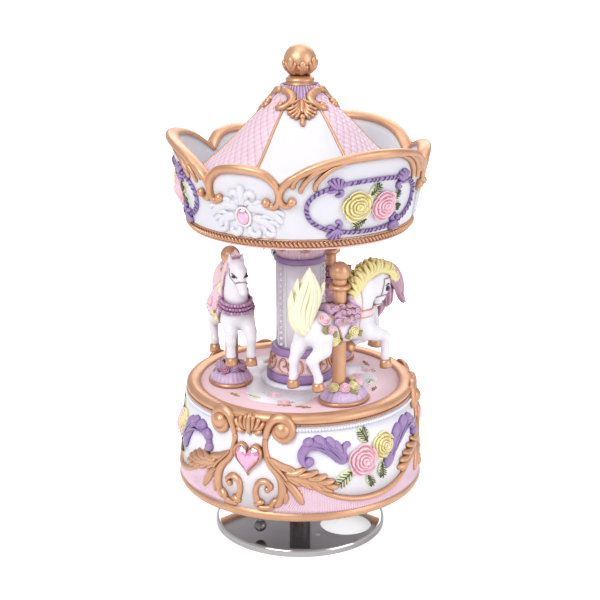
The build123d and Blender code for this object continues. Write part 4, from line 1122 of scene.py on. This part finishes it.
def stand_pieces(index):
    name = NAMES[index]
    place = carrier(f"pole_foot_{name}", HORSE_AZ + 120 * index)
    dome = Soup(f"stand_{name}_dome", LILAC, replaces=(f"pole_foot_{name}",))
    gold = Soup(f"stand_{name}_rim", GOLD)
    a = circle(288)
    wide, deep = 9.7, 8.1

    def oval(share, z, ripple=0.0):
        swell = share * (1 + ripple * np.cos(24 * a))
        return place(np.stack([wide * swell * np.cos(a), deep * swell * np.sin(a), np.full_like(a, DECK + z)],
                              -1))

    add_loop(dome, np.array([oval(0.25, 0.6), oval(0.9, 0.6), oval(0.93, 1.2, 0.006), oval(0.9, 2.2, 0.014),
                             oval(0.82, 3.4, 0.02), oval(0.68, 4.6, 0.024), oval(0.5, 5.5, 0.02),
                             oval(0.34, 6, 0), oval(0.25, 6.1)]))
    add_loop(gold, np.array([oval(0.25, 0), oval(0.96, 0), oval(1, 0.4), oval(1, 1), oval(0.965, 1.5),
                             oval(0.91, 1.6), oval(0.86, 1.2), oval(0.25, 1)]))
    build_all(dome, gold)
    tints = (ROSE_YELLOW, CREAM, ROSE_PINK, OLIVE) if index == 0 else (LILAC, MAUVE, HAIR_MAUVE, OLIVE)
    labels = ("a", "b", "c", "leaves")
    for k, (tint, label) in enumerate(zip(tints, labels)):
        soup = Soup(f"stand_{name}_wreath_{label}", tint)
        for n in range(k, 16, 4):
            b = 2 * np.pi * n / 16 + 0.3
            share = 0.47 + 0.05 * (n % 3)
            spot = (wide * share * math.cos(b), deep * share * math.sin(b), DECK + 5.9 - 1.1 * (n % 2))
            way = (math.cos(b), math.sin(b), 1.2)
            surface = plane_at(place, spot, way)
            if label == "leaves":
                for lean in (-1.9, 0, 1.9):
                    stroke(soup, surface, [(-1, 0), (0.6, 0.5 * lean), (2.2, lean)], [0.4, 0.9, 0.2],
                           [0.5, 0.8, 0.4])
            else:
                rose(soup, surface, 0, 0, 2, 0.37 * n, height=1.3, rings=SMALL_ROSE, detail=40)
        soup.build()


# ---- horses -------------------------------------------------------------------------------------
def ball_at(points, centre, radii, tilt=0.0):
    """Signed distance, roughly, to an ellipsoid turned about Y by tilt degrees."""
    c, s = math.cos(math.radians(tilt)), math.sin(math.radians(tilt))
    d = points - np.asarray(centre, float)
    d = np.stack([c * d[..., 0] + s * d[..., 2], d[..., 1], -s * d[..., 0] + c * d[..., 2]], -1)
    radii = np.asarray(radii, float)
    k0 = np.linalg.norm(d / radii, axis=-1)
    k1 = np.linalg.norm(d / radii**2, axis=-1)
    return k0 * (k0 - 1) / np.maximum(k1, 1e-9)


def limb_at(points, a, b, ra, rb):
    """Signed distance to a cone with round ends."""
    a, b = np.asarray(a, float), np.asarray(b, float)
    line = b - a
    t = np.clip(((points - a) @ line) / (line @ line), 0, 1)
    return np.linalg.norm(points - a - t[..., None] * line, axis=-1) - (ra + (rb - ra) * t)


def blend_min(a, b, k):
    h = np.clip(0.5 + 0.5 * (b - a) / k, 0, 1)
    return b * (1 - h) + a * h - k * h * (1 - h)


def chain(points, field, stations, k):
    for (a, ra), (b, rb) in zip(stations, stations[1:]):
        field = blend_min(field, limb_at(points, a, b, ra, rb), k)
    return field


def surface_net(field, low, step):
    """Smooth closed mesh of the zero level of a sampled field (dual contouring without sharp edges)."""
    inside = field < 0
    cells = np.zeros(np.array(field.shape) - 1, int)
    total = np.zeros(cells.shape + (3,))
    n = [s - 1 for s in field.shape]
    for axis in range(3):
        for du in (0, 1):
            for dv in (0, 1):
                offset = [0, 0, 0]
                others = [k for k in range(3) if k != axis]
                offset[others[0]], offset[others[1]] = du, dv
                lo = tuple(slice(offset[k], offset[k] + n[k]) for k in range(3))
                hi = tuple(slice(offset[k] + (k == axis), offset[k] + (k == axis) + n[k]) for k in range(3))
                a, b = field[lo], field[hi]
                cross = inside[lo] != inside[hi]
                t = np.where(cross, a / np.where(cross, a - b, 1), 0)
                point = np.zeros(cells.shape + (3,))
                for k in range(3):
                    point[..., k] = offset[k]
                point[..., axis] += t
                total += point * cross[..., None]
                cells += cross
    used = cells > 0
    ids = -np.ones(cells.shape, int)
    ids[used] = np.arange(used.sum())
    corner = np.stack(np.nonzero(used), -1)
    points = (corner + total[used] / cells[used][:, None]) * step + np.asarray(low)
    quads = []
    for axis in range(3):
        o1, o2 = [k for k in range(3) if k != axis]
        lo = [slice(1, n[k]) for k in range(3)]
        lo[axis] = slice(0, n[axis])
        hi = list(lo)
        hi[axis] = slice(1, n[axis] + 1)
        a, b = inside[tuple(lo)], inside[tuple(hi)]
        spot = np.stack(np.nonzero(a != b), -1)
        base = spot.copy()
        base[:, o1] += 1
        base[:, o2] += 1
        corners = []
        for du, dv in ((0, 0), (-1, 0), (-1, -1), (0, -1)):
            c = base.copy()
            c[:, o1] += du
            c[:, o2] += dv
            corners.append(ids[c[:, 0], c[:, 1], c[:, 2]])
        quads.append(np.stack(corners, -1))
    return points, np.concatenate(quads)


# each limb is a row of stations: a spot in the horse's frame (ahead, towards the column, height) and a radius
HORSE_LOW, HORSE_HIGH, NET = np.array((-22, -8, 62)), np.array((26, 8, 113)), 0.42

HIND_LEGS = (
    (((-12.4, 3, 83.5), 3.9), ((-15.2, 3.2, 78.8), 2.5), ((-16.8, 3.4, 74.6), 1.75), ((-16.9, 3.4, 69.8), 1.45),
     ((-17.3, 3.4, 67.4), 1.55)),
    (((-9.4, -3, 83), 4.3), ((-9.6, -3.6, 78.9), 2.9), ((-14.4, -3.8, 75.8), 1.8), ((-11.6, -3.8, 69), 1.4),
     ((-11.8, -3.8, 67), 1.55)),
)
LEAPING = (
    (((9.8, -2.8, 82), 3.6), ((13.6, -3.4, 80.4), 2.5), ((17.3, -3.6, 79), 1.8), ((17.6, -3.6, 72), 1.4),
     ((17.8, -3.6, 69.6), 1.5)),
    (((10, 2.8, 82), 3.6), ((13.6, 3.4, 79), 2.3), ((13, 3.6, 77), 1.75), ((9, 3.6, 76.2), 1.4),
     ((8, 3.6, 75.4), 1.45)),
)
PLANTED = (
    (((10, -2.6, 83), 3.5), ((12.6, -3, 79.6), 2.3), ((13.4, -3.1, 76.6), 1.7), ((13.4, -3.1, 71.6), 1.5),
     ((13.6, -3.1, 70), 1.6)),
    (((10, 3, 83), 3.5), ((13.2, 3.9, 79.6), 2.3), ((14.4, 4.1, 77.4), 1.75), ((14, 4.1, 71.6), 1.5),
     ((14, 4.1, 69.6), 1.6)),
)
TUCKED_NECK = (((8.2, 0, 87.5), 4.9), ((8.1, 0, 92.6), 4.9), ((10.8, 0, 96.8), 4.8), ((15.8, 0, 98.7), 4.4))
TUCKED_HEAD = (((17.6, 0, 98.9), 3.9), ((18, 0, 96.2), 3.3), ((17, 0, 93), 2.5), ((16.4, 0, 91.1), 1.95))
NECKS = (
    TUCKED_NECK, TUCKED_NECK,
    (((8, 0, 87.5), 4.9), ((8, 0, 92.6), 4.6), ((9.2, 0, 98.2), 4), ((12.6, -0.6, 102.6), 3.5)),
)
HEADS = (
    TUCKED_HEAD, TUCKED_HEAD,
    (((15, -1, 103.6), 3.5), ((16.4, -0.8, 102.2), 3.2), ((18.3, -0.1, 99), 2.1), ((19.1, 0.4, 96.3), 1.6)),
)


def horse_field(points, index):
    """Distance field of a horse without mane, tail and hooves."""
    fore = PLANTED if index == 2 else LEAPING
    body = ball_at(points, (-9.3, 0, 85.4), (6.9, 5.6, 6.2), 8)
    body = blend_min(body, ball_at(points, (0, 0, 84.8), (9.5, 5.5, 5.6)), 3)
    body = blend_min(body, ball_at(points, (8.2, 0, 85), (5.4, 5.2, 6.2), -12), 2.6)
    slim = points * np.array([1, 1.2, 1])
    body = chain(slim, body, NECKS[index], 2)
    body = chain(slim, body, HEADS[index], 1)
    (poll, _), (brow, _), _, (nose, muzzle) = HEADS[index]
    body = blend_min(body, ball_at(points, (nose[0] - 0.4, nose[1], nose[2] - 0.3),
                                   (muzzle, 0.92 * muzzle, 0.82 * muzzle), 30), 0.7)
    for side in (-1, 1):
        jowl, root, tip = (brow[1] + side * 1.7, poll[1] + side * 1.9, poll[1] + side * 2.3)
        body = blend_min(body, ball_at(points, (brow[0] - 1.8, jowl, brow[2] - 0.6), (2.3, 1.3, 2.2), 20), 0.8)
        body = blend_min(body, limb_at(points, (poll[0] - 1.2, root, poll[2] + 2.4),
                                       (poll[0] - 0.8, tip, poll[2] + 4.9), 1.1, 0.4), 0.5)
    for leg in HIND_LEGS + fore:
        body = blend_min(body, chain(points, np.full(points.shape[:-1], 99), leg, 0.9), 1.4)
    return body


def body_reach(index, z, bearing, grow):
    """Spot on the outside of a horse's neck at a height, looking out from the neck's middle on a bearing."""
    reach = np.arange(0.5, 11, 0.1)
    line = np.stack([8.0 + reach * math.cos(bearing), reach * math.sin(bearing), np.full_like(reach, z)], -1)
    inside = np.nonzero(horse_field(line, index) < grow)[0]
    return line[inside[-1]]


BARREL_Z, BARREL_R = 84.9, 6.1


def flank(x, z, side):
    """Spot on a horse's barrel and the way it faces."""
    lift = max(-0.93, min(0.93, (z - BARREL_Z) / BARREL_R))
    flat = math.sqrt(1 - lift * lift)
    return (x, side * BARREL_R * flat, BARREL_Z + BARREL_R * lift), (0, side * flat, lift)


def horse_pieces(index):
    name = NAMES[index]
    place = carrier(f"pole_{name}", heading(index))
    fore = PLANTED if index == 2 else LEAPING
    stretch = 1.16 if index == 1 else 1.0
    axes = [np.arange(lo, hi, NET) for lo, hi in zip(HORSE_LOW, HORSE_HIGH)]
    grid = np.stack(np.meshgrid(*axes, indexing="ij"), -1)
    field = horse_field(grid, index)
    x, y, z = grid[..., 0], grid[..., 1], grid[..., 2]

    def put(points):
        points = np.asarray(points, float) * np.array([stretch, 1, 1])
        return place(points)

    def shell(label, tint, grow, region, replaces=()):
        piece = Soup(f"horse_{name}_{label}", tint, replaces=replaces)
        points, quads = surface_net(np.maximum(field - grow, region), HORSE_LOW, NET)
        piece.add(put(points), quads)
        piece.build()

    shell("body", COAT, 0, field, replaces=(f"horse_{name}",))
    if index == 0:
        blanket = np.maximum(np.abs(x - 0.2) - 2.2 - 0.38 * np.clip(z - 80.6, 0, 10.5), 80.2 - z)
        shell("saddle_cloth", CLOTH, 0.55, blanket)
        shell("saddle_border", GOLD, 0.38, blanket - 0.55)
        strap = np.maximum(np.abs(z - 88.9) - 0.9, np.maximum(5.4 - x, x - 14.6))
        shell("breast_strap", DECK_PINK, 0.5, strap)
        shell("strap_border", GOLD, 0.32, strap - 0.38)
    elif index == 2:
        blanket = np.maximum(np.abs(x + 0.2) - 7.4 + 0.3 * (86 - z) * (z < 86),
                             np.maximum(80.6 - z, z - 92.5 - 0.25 * np.abs(y)))
        shell("saddle_cloth", PINK, 1.1, blanket)
        shell("saddle_border", MAUVE, 0.9, blanket - 0.6)
        collar = np.maximum(np.abs(z - 88.3 - 0.15 * (13.4 - x)) - 1.5, 3.6 - x)
        shell("collar", MAUVE, 0.85, collar)
    else:
        blanket = np.maximum(np.abs(x - 0.6) - 7, 80.2 - z)
        shell("saddle_cloth", HAIR_MAUVE, 0.6, blanket)
        shell("saddle_border", GOLD, 0.4, blanket - 0.6)
    saddle = Soup(f"horse_{name}_saddle", (ORCHID, MAUVE, ROSE_YELLOW)[index])
    add_ball(saddle, put((-0.9, 0, 91)), (5.2, 4.4, 2.2), turn=horse_turn(index), rows=16, cols=28)
    pommel = ((3.4, 0, 93), (1.5, 5.2, 3.9)) if index == 2 else ((3.9, 0, 92.8), (1.6, 3.9, 2.9))
    for spot, size in (pommel, ((-5.4, 0, 91.4), (1.4, 3.8, 2.3))):
        add_ball(saddle, put(spot), size, turn=horse_turn(index), rows=14, cols=22)
    trim = Soup(f"horse_{name}_saddle_trim", GOLD)

    def sheath(x, angle, rise, side):
        """A place on the padded saddle: angle is measured from the top, down one side."""
        reach = 7.0 + 1.3 * math.cos(angle) ** 2 + rise
        return np.array([x, side * reach * math.sin(angle), BARREL_Z + reach * math.cos(angle)])

    for side in (-1, 1):
        for row, angle in enumerate((0.42, 0.72, 1.02)):
            for k in range(0 if index == 2 else 5):
                x0 = -5.0 + 2.0 * k + 0.9 * (row % 2) + 0.3 * math.sin(5.0 * k + row)
                add_ball(saddle, put(sheath(x0, angle, -0.5, side)), (1.6, 1.2, 1.3), turn=horse_turn(index),
                         rows=9, cols=14)
                for tint_soup, first in ((saddle, 0), (trim, 2.4)):
                    swirl = []
                    for t in np.linspace(0, 1, 9):
                        a, wide = 4.4 * t + 1.7 * k + row + first, 1.45 - 1.0 * t
                        swirl.append(sheath(x0 + wide * math.cos(a), angle + 0.8 * wide * math.sin(a) / 7.5,
                                            0.5 + 0.2 * (first > 0), side))
                    cord(tint_soup, put(swirl), [0.2, 0.42, 0.3] if tint_soup is saddle else [0.1, 0.19, 0.1],
                         sides=7, step=0.3)
    saddle.build()
    if index < 2:
        trim.build()
    gold = Soup(f"horse_{name}_hooves", GOLD)
    for leg in HIND_LEGS + fore:
        (upper, _), (lower, _) = leg[-2:]
        upper, lower = np.array(upper), np.array(lower)
        way = (lower - upper) / np.linalg.norm(lower - upper)
        if abs(way[2]) > 0.7:
            way = np.array([0.12, 0, -1])
        line = [lower + reach * way for reach in (-0.5, 0.6, 1.6, 2.4)]
        ring = circle(20)
        side = np.array([0, 1, 0])
        other = np.cross(side, way)
        other /= np.linalg.norm(other)
        outline = np.cos(ring)[:, None] * side + 1.1 * np.sin(ring)[:, None] * other
        stations = zip([line[0]] * 2 + line + [line[-1]], (0.6, 1.7, 1.75, 1.95, 2.1, 2.15, 0.6))
        add_tube(gold, np.array([put(spot + radius * outline) for spot, radius in stations]))
    gold.build()
    horse_face(index, put)
    horse_hair(index, put)
    horse_flowers(index, put)


def horse_turn(index):
    a = math.radians(heading(index))
    return np.array([[math.cos(a), math.sin(a), 0], [-math.sin(a), math.cos(a), 0], [0, 0, 1]])


# where the eye, its lash, the nostril, the cheek strap, the noseband, the browband and the mouth lie on one side
TUCKED_FACE = {
    "eye": ((18.7, 2.65, 95.9), (0.95, 0.8, 1.1)),
    "lash": ((17.4, 3.1, 97), (18.8, 2.95, 97.5), (20.2, 2.1, 97)),
    "nostril": (17.3, 1.35, 91.3),
    "cheek": ((16.6, 3.4, 99.8), (16.5, 3.3, 96.6), (16.2, 2.5, 93.6)),
    "nose": ((14.7, 1.2, 92.9), (16, 2.35, 93.3), (18, 1.85, 93.5), (19.2, 0, 93.6)),
    "brow": ((21.4, 0, 99.1), (19.8, 2.6, 99.5), (16.7, 3.4, 99.7)),
    "mouth": ((14.6, 1, 90.4), (15.7, 1.75, 90.2), (17, 1.2, 90.5)),
}
RAISED_FACE = {
    "eye": ((18.5, 2.1, 101.7), (0.75, 0.9, 0.6)),
    "lash": ((19.4, 0.9, 101.2), (18.9, 2.2, 102.1), (17.6, 3.2, 102.9)),
    "cheek": ((15.6, 3, 104.2), (16.2, 3.2, 101.4), (17.6, 2.5, 98.2)),
    "nose": ((17.6, 2.5, 98.2), (18.8, 2.2, 99), (20.2, 1.2, 99.9), (20.8, 0, 100.1)),
}


def snap(points, index, grow):
    """The points moved onto the skin of a horse, or the given distance above it."""
    points = np.atleast_2d(np.asarray(points, float))
    probe = 0.05
    for _ in range(6):
        here = horse_field(points, index)
        slope = np.stack([horse_field(points + step, index) - here for step in probe * np.eye(3)], -1) / probe
        steep = np.maximum((slope**2).sum(-1), 0.1)
        points = points + ((grow - here) / steep)[:, None] * slope
    return points


def horse_face(index, put):
    black = Soup(f"horse_{NAMES[index]}_eyes", BLACK)
    lines = Soup(f"horse_{NAMES[index]}_bridle", GREY_LINE)
    turn = horse_turn(index)
    face = RAISED_FACE if index == 2 else TUCKED_FACE
    (_, lean, _), _ = HEADS[index][1]
    for side in (-1, 1):
        def on_side(points, grow):
            points = np.asarray(points, float) * np.array([1, side, 1]) + np.array([0, lean, 0])
            return put(snap(smooth_path(points, 0.5) if points.ndim == 2 else points, index, grow))

        place, radii = face["eye"]
        add_ball(black, on_side(place, -0.1)[0], radii, turn=turn)
        cord(black, on_side(face["lash"], 0), [0.12, 0.3, 0.12], step=0.2)
        for part in ("cheek", "nose", "brow"):
            if part in face:
                cord(lines, on_side(face[part], 0.05), [0.2, 0.26, 0.2], step=0.3)
        if "mouth" in face:
            add_ball(black, on_side(face["nostril"], 0)[0], (0.3, 0.26, 0.25), turn=turn, rows=6, cols=8)
            cord(lines, on_side(face["mouth"], 0), [0.1, 0.16, 0.1], step=0.2)
    build_all(black, lines)


def pick(line, t):
    return line[int(round(min(max(t, 0), 1) * (len(line) - 1)))]


def horse_hair(index, put):
    """Mane and tail as tapered locks."""
    tint = (HAIR_YELLOW, HAIR_MAUVE, HAIR_PEACH)[index]
    forward, lateral, _ = (put(step) - put((0, 0, 0)) for step in np.eye(3))
    mane = Soup(f"horse_{NAMES[index]}_mane", tint)
    if index < 2:
        roots = smooth_path([(21.6, 99.2), (19.8, 101.6), (16.2, 103), (12.2, 102.2), (9, 100.2), (6, 97),
                             (4, 93.8)], 0.3)
        tips = smooth_path([(25.2, 97.8), (22.8, 102.6), (18.9, 105.4), (14.4, 106.8), (9.9, 105.6),
                            (4.9, 101.6), (3, 97.2)], 0.3)
        for wide, count, sunk in ((-2.9, 26, 1.6), (2.9, 26, 1.6), (-1.3, 26, 0.5), (1.3, 26, 0.5),
                                  (0, 26, 0.2)):
            for k in range(count):
                t = (k + 0.5) / count
                root, tip = pick(roots, t), pick(tips, t + RNG.uniform(-0.01, 0.05))
                reach = RNG.uniform(0.75, 1.12)
                way = (tip - root) / np.linalg.norm(tip - root)
                side = np.array([way[1], -way[0]]) * RNG.uniform(0.2, 0.9)
                start = root - sunk * way
                middle_of = root + 0.5 * reach * (tip - root) + side
                end = root + reach * (tip - root) - 0.6 * side
                cord(mane, put([(start[0], wide * 1.02, start[1]),
                                (root[0] + 0.3 * side[0], wide, root[1] + 0.3 * side[1]),
                                (middle_of[0], wide * 0.85, middle_of[1]), (end[0], wide * 0.45, end[1])]),
                     [0.35, 0.8, 0.85, 0.22], sides=7, step=0.5, up=lateral)
        for k in range(8):
            spread = (k - 3.5) * 0.8
            low = 99.0 - 1.3 * (k % 2) - 0.3 * abs(k - 3.5)
            cord(mane, put([(17.8, spread, 102), (20.4, spread * 1.1, 101.8),
                            (21.6 + 0.5 * (k % 2), spread * 1.1, 100.4), (21.9 + 1.1 * (k % 2), spread, low)]),
                 [0.6, 0.85, 0.7, 0.18], sides=7, up=lateral)
    else:
        crest = smooth_path([(12.4, 106), (9.4, 104.2), (6.8, 101.6), (4.8, 97.6), (3.2, 93.4)], 0.3)
        for layer in range(2):
            for k in range(16):
                x0, z0 = pick(crest, (k + 0.5 + 0.3 * layer) / 16.5)
                drop = RNG.uniform(1.6, 2.8)
                cord(mane, put([(x0 + 1, 1.0 - layer, z0 - 1), (x0 - 0.2, -0.8 - layer, z0 + 0.3),
                                (x0 - 0.6, -2.4 - layer, z0 - 1), (x0 - 0.4, -3.2 - 0.6 * layer, z0 - drop),
                                (x0 + 0.2, -3.6 - 0.6 * layer, z0 - drop - 1.4)]), [0.5, 0.95, 1, 0.8, 0.25],
                     sides=7, step=0.6, up=forward)
        for k in range(5):
            lean = k - 2
            cord(mane, put([(12.4, 0.5 * lean - 1, 105.4), (13.4, 0.6 * lean - 1, 107.6),
                            (14.4, 0.55 * lean - 1.2, 109.2 - 0.4 * abs(lean)),
                            (15, 0.5 * lean - 1.4, 110.4 - 0.9 * abs(lean))]), [0.8, 1, 0.7, 0.2], sides=7,
                 up=lateral)
    mane.build()
    tail = Soup(f"horse_{NAMES[index]}_tail", (HAIR_PALE, HAIR_MAUVE, HAIR_PEACH)[index])
    if index == 1:
        edges = ([(-14, 89.5), (-17, 95.6), (-21.5, 95.6), (-24.4, 90), (-25.2, 84.4), (-26.8, 82.6)],
                 [(-13, 86.5), (-15.6, 90), (-17.4, 88.6), (-17.6, 82), (-17.2, 78), (-15.8, 74.2)])
        lengths = (1, 0.97, 0.86, 0.88, 0.9, 0.97, 1)
    else:
        edges = ([(-11.5, 85.2), (-14.9, 84.6), (-18.2, 87.6), (-20, 93), (-18.4, 98.4), (-15.5, 103),
                  (-12.9, 107.9)], [(-9.6, 88), (-11.8, 87.4), (-12.8, 89.4), (-11.4, 92.6), (-9.8, 95.8),
                                    (-9.6, 99), (-12.2, 106.2)])
        lengths = (1, 0.97, 1, 0.93, 0.98, 0.96, 1)
    if index == 2:
        edges = [[(x, 84.0 + 0.62 * (z - 84)) for x, z in edge] for edge in edges]
    far, near = (smooth_path(edge, 0.4) for edge in edges)
    stations = np.linspace(0, 1, 9)
    for layer, depth in enumerate((-2.2, -1.1, 0, 1.1, 2.2)):
        for k, long in enumerate(lengths):
            share = (k + 0.5 * (layer % 2)) / (len(lengths) - 0.5)
            path = []
            for t in stations * long:
                a, b = pick(far, t), pick(near, t)
                sway = 0.05 * math.sin(6.0 * t + 1.3 * k + layer)
                tip_share = (0.06, 0.5, 0.94)[min(2, int(3 * share))] if index == 1 else share
                spot = a + (b - a) * min(1, max(0, share + (tip_share - share) * t ** 3 + sway))
                bulge = math.sin(math.pi * min(1, 0.12 + 0.88 * t)) ** 0.7
                path.append((spot[0], depth * bulge * (1 - 0.5 * abs(2 * share - 1)) - 0.4,
                             spot[1] + RNG.uniform(-0.15, 0.15)))
            cord(tail, put(path), [0.6, 0.95, 1.15, 1.2, 1.1, 0.95, 0.6, 0.18], sides=8, step=0.6, up=lateral)
    flicks = (((-12, 92), (-10.2, 95.6), (-8.6, 98.4), (-6.6, 101.8)),
              ((-17, 90), (-19.4, 94), (-20.4, 97.4), (-20.2, 101)),
              ((-15.6, 94.5), (-17.6, 98.6), (-18.3, 101.4), (-17.6, 104.8)))
    for flick in flicks if index == 0 else ():
        for k in range(5):
            depth = 0.5 * (k - 2)
            spread = (depth, 1.2 * depth, 0.8 * depth, 0.25 * depth)
            line = [(x, y, z - 0.35 * abs(k - 2)) for (x, z), y in zip(flick, spread)]
            cord(tail, put(line), [0.7, 1, 0.75, 0.12], sides=8, step=0.6, up=lateral)
    tail.build()


def horse_flowers(index, put):
    name = NAMES[index]
    turn = horse_turn(index)
    plans = {
        0: (("pink", ROSE_PINK, ((-9.8, 89.4, 2.2), (-8.2, 86.4, 1.5))),
            ("yellow", ROSE_YELLOW, ((1.2, 84.4, 2.1), (-6.3, 82.3, 2.1))),
            ("leaf", OLIVE, ((-11.6, 86.6, 1.6), (-1.6, 82.8, 1.5), (3.4, 83, 1.4), (-7.6, 84.6, 1.4),
                             (-4.2, 81, 1.3)))),
        1: (("pink", ROSE_PINK, ((-3, 85, 2), (4.5, 84, 1.8))), ("leaf", OLIVE,
                                                                 ((1, 82.5, 1.5), (-6, 83, 1.4)))),
        2: (("pink", ROSE_PINK, ((3.6, 87, 2), (-4.6, 86, 1.8))), ("yellow", ROSE_YELLOW,
                                                                   ((5.4, 83.2, 1.8), (-1.2, 83, 1.6))),
            ("leaf", OLIVE, ((1.2, 85.4, 1.5), (-7, 84, 1.4)))),
    }
    for label, tint, spots in plans[index]:
        soup = Soup(f"horse_{name}_flowers_{label}", tint)
        for x, z, size in spots:
            for side in (-1, 1):
                spot, way = flank(x, z, side)
                origin = put(np.array(spot) + 0.4 * np.array(way))
                surface = plane_at(lambda local, origin=origin: origin + local @ turn, (0, 0, 0), way)
                if label == "leaf":
                    for lean in (-1, 0, 1):
                        stroke(soup, surface, [(0, 0), (0.7 * size, 0.45 * lean * size),
                                               (1.3 * size, 0.8 * lean * size)], [0.3, 0.6, 0.15],
                               [0.4, 0.6, 0.3])
                else:
                    rose(soup, surface, 0, 0, size, x, height=0.6 * size, rings=SMALL_ROSE, detail=48)
        soup.build()
    if index == 2:
        pale = Soup("horse_left_collar_beads", LILAC)
        deep = Soup("horse_left_collar_flowers", MAUVE)
        for row, rise in enumerate((-1.3, 0, 1.3)):
            for k in range(24):
                bearing = math.radians(-112 + 9.7 * (k + 0.5 * (row % 2)))
                z = 88.3 + rise + 0.15 * (5.4 - 6.0 * math.cos(bearing))
                spot = body_reach(2, z, bearing, 1.2)
                beads, size = (deep, (0.8, 0.8, 0.7)) if (k + row) % 3 else (pale, (0.55,) * 3)
                add_ball(beads, put(spot), size, rows=6, cols=8)
        build_all(pale, deep)


# ---- finishes of the CAD parts that stay in view ------------------------------------------------
def bare_metal(name, colour, dark, rough, **extra):
    return node_material(name, colour, dark, rough, metal=1.0, **{"bump": 0.12, "coat": 0, **extra})


def finish_cad_nodes():
    chrome = bare_metal("polished_steel", (0.72, 0.71, 0.72), (0.62, 0.6, 0.6), 0.05, bump=0.02, grain=300)
    dark_steel = bare_metal("dark_steel", (0.25, 0.24, 0.24), (0.15, 0.14, 0.14), 0.3, wear=(0.5, 0.5, 0.5))
    bright = bare_metal("bright_steel", (0.62, 0.62, 0.63), (0.5, 0.5, 0.52), 0.22)
    brass = bare_metal("brass", (0.8, 0.6, 0.25), (0.62, 0.43, 0.15), 0.25)
    zinc = bare_metal("cast_zinc", (0.5, 0.5, 0.5), (0.4, 0.4, 0.41), 0.42, bump=0.35)
    nylon = paint("governor_plastic", (0.75, 0.74, 0.7), (0.68, 0.67, 0.63), 0.5)
    cover = paint("cover_plastic", (0.55, 0.53, 0.55), (0.47, 0.45, 0.47), 0.5, bump=0.3)
    ceiling = paint("ceiling_pink", (0.82, 0.7, 0.74), (0.76, 0.62, 0.68), 0.5)
    by_slot = {"polished_steel": chrome, "dark_steel": dark_steel, "bright_steel": bright, "brass": brass,
               "cast_zinc": zinc, "governor_plastic": nylon, "cover_plastic": cover, "gold_resin": GOLD,
               "canopy_resin": ceiling}
    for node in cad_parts.values():
        slot = node.data.materials[0].name.split(".")[0] if node.data.materials else ""
        node.data.materials.clear()
        node.data.materials.append(by_slot.get(slot, WHITE))


# ---- light, camera, floor -----------------------------------------------------------------------
SOFTBOXES = (  # name, place, width, height, watts, colour; all aimed at the middle of the object
    ("key", (-0.4, -0.6, 0.7), 0.45, 0.45, 4.9, (1, 0.985, 0.96)),
    ("fill", (0.7, -0.45, 0.35), 0.5, 0.7, 2.4, (1, 1, 1)),
    ("back", (0.1, 0.7, 0.6), 0.8, 0.5, 2.6, (1, 1, 1)),
    ("over", (0, 0, 0.9), 0.7, 0.7, 2, (1, 1, 1)),
)
AIM = Vector((0, 0, 0.09))
FLOOR_HALF, FLOOR_GLOW = 6, 0.6
SKY_STRENGTH = 0.56
CAMERA_PLACE, CAMERA_DROP, CAMERA_LENS = (0, -0.4847, 0.2363), 17.13, 84.0


def add_object(name, data):
    thing = bpy.data.objects.new(name, data)
    bpy.context.scene.collection.objects.link(thing)
    return thing


def studio():
    scene = bpy.context.scene
    scene.view_settings.view_transform = "Standard"
    world = bpy.data.worlds.new("studio")
    scene.world = world
    world.use_nodes = True
    back = world.node_tree.nodes["Background"]
    back.inputs["Color"].default_value = (0.95, 0.96, 1, 1)
    back.inputs["Strength"].default_value = SKY_STRENGTH
    for name, place, width, height, watts, colour in SOFTBOXES:
        lamp = bpy.data.lights.new(name, "AREA")
        lamp.shape, lamp.size, lamp.size_y, lamp.energy, lamp.color = "RECTANGLE", width, height, watts, colour
        thing = add_object(name, lamp)
        thing.location = place
        thing.rotation_euler = (AIM - thing.location).to_track_quat("-Z", "Y").to_euler()
    mesh = bpy.data.meshes.new("floor")
    half = FLOOR_HALF
    mesh.from_pydata([(-half, -half, 0), (half, -half, 0), (half, half, 0), (-half, half, 0)], [],
                     [(0, 1, 2, 3)])
    white = paint("floor_white", (0.93, 0.93, 0.94), (0.92, 0.92, 0.93), 0.8, coat=0.0, under=0.0)
    nodes, links = white.node_tree.nodes, white.node_tree.links
    rays, dim = nodes.new("ShaderNodeLightPath"), nodes.new("ShaderNodeMath")
    dim.operation = "MULTIPLY"
    dim.inputs[1].default_value = FLOOR_GLOW
    shader = nodes["Principled BSDF"]
    shader.inputs["Emission Color"].default_value = (1, 1, 1, 1)
    links.new(rays.outputs["Is Camera Ray"], dim.inputs[0])
    links.new(dim.outputs[0], shader.inputs["Emission Strength"])
    mesh.materials.append(white)
    add_object("floor", mesh)
    lens = bpy.data.cameras.new("camera")
    lens.lens, lens.sensor_width, lens.clip_start = CAMERA_LENS, 36, 0.01
    camera = add_object("camera", lens)
    camera.location = CAMERA_PLACE
    camera.rotation_euler = (math.radians(90 - CAMERA_DROP), 0, 0)
    scene.camera = camera


drum_body()
drum_motif()
heart_pieces()
drum_leaves()
crown_wall()
crown_rolls()
crown_small_relief()
crown_cartouche()
roof()
finial_piece()
column_pieces()
deck_pieces()
for number in range(3):
    stand_pieces(number)
    horse_pieces(number)
finish_cad_nodes()
studio()
bpy.context.view_layer.update()
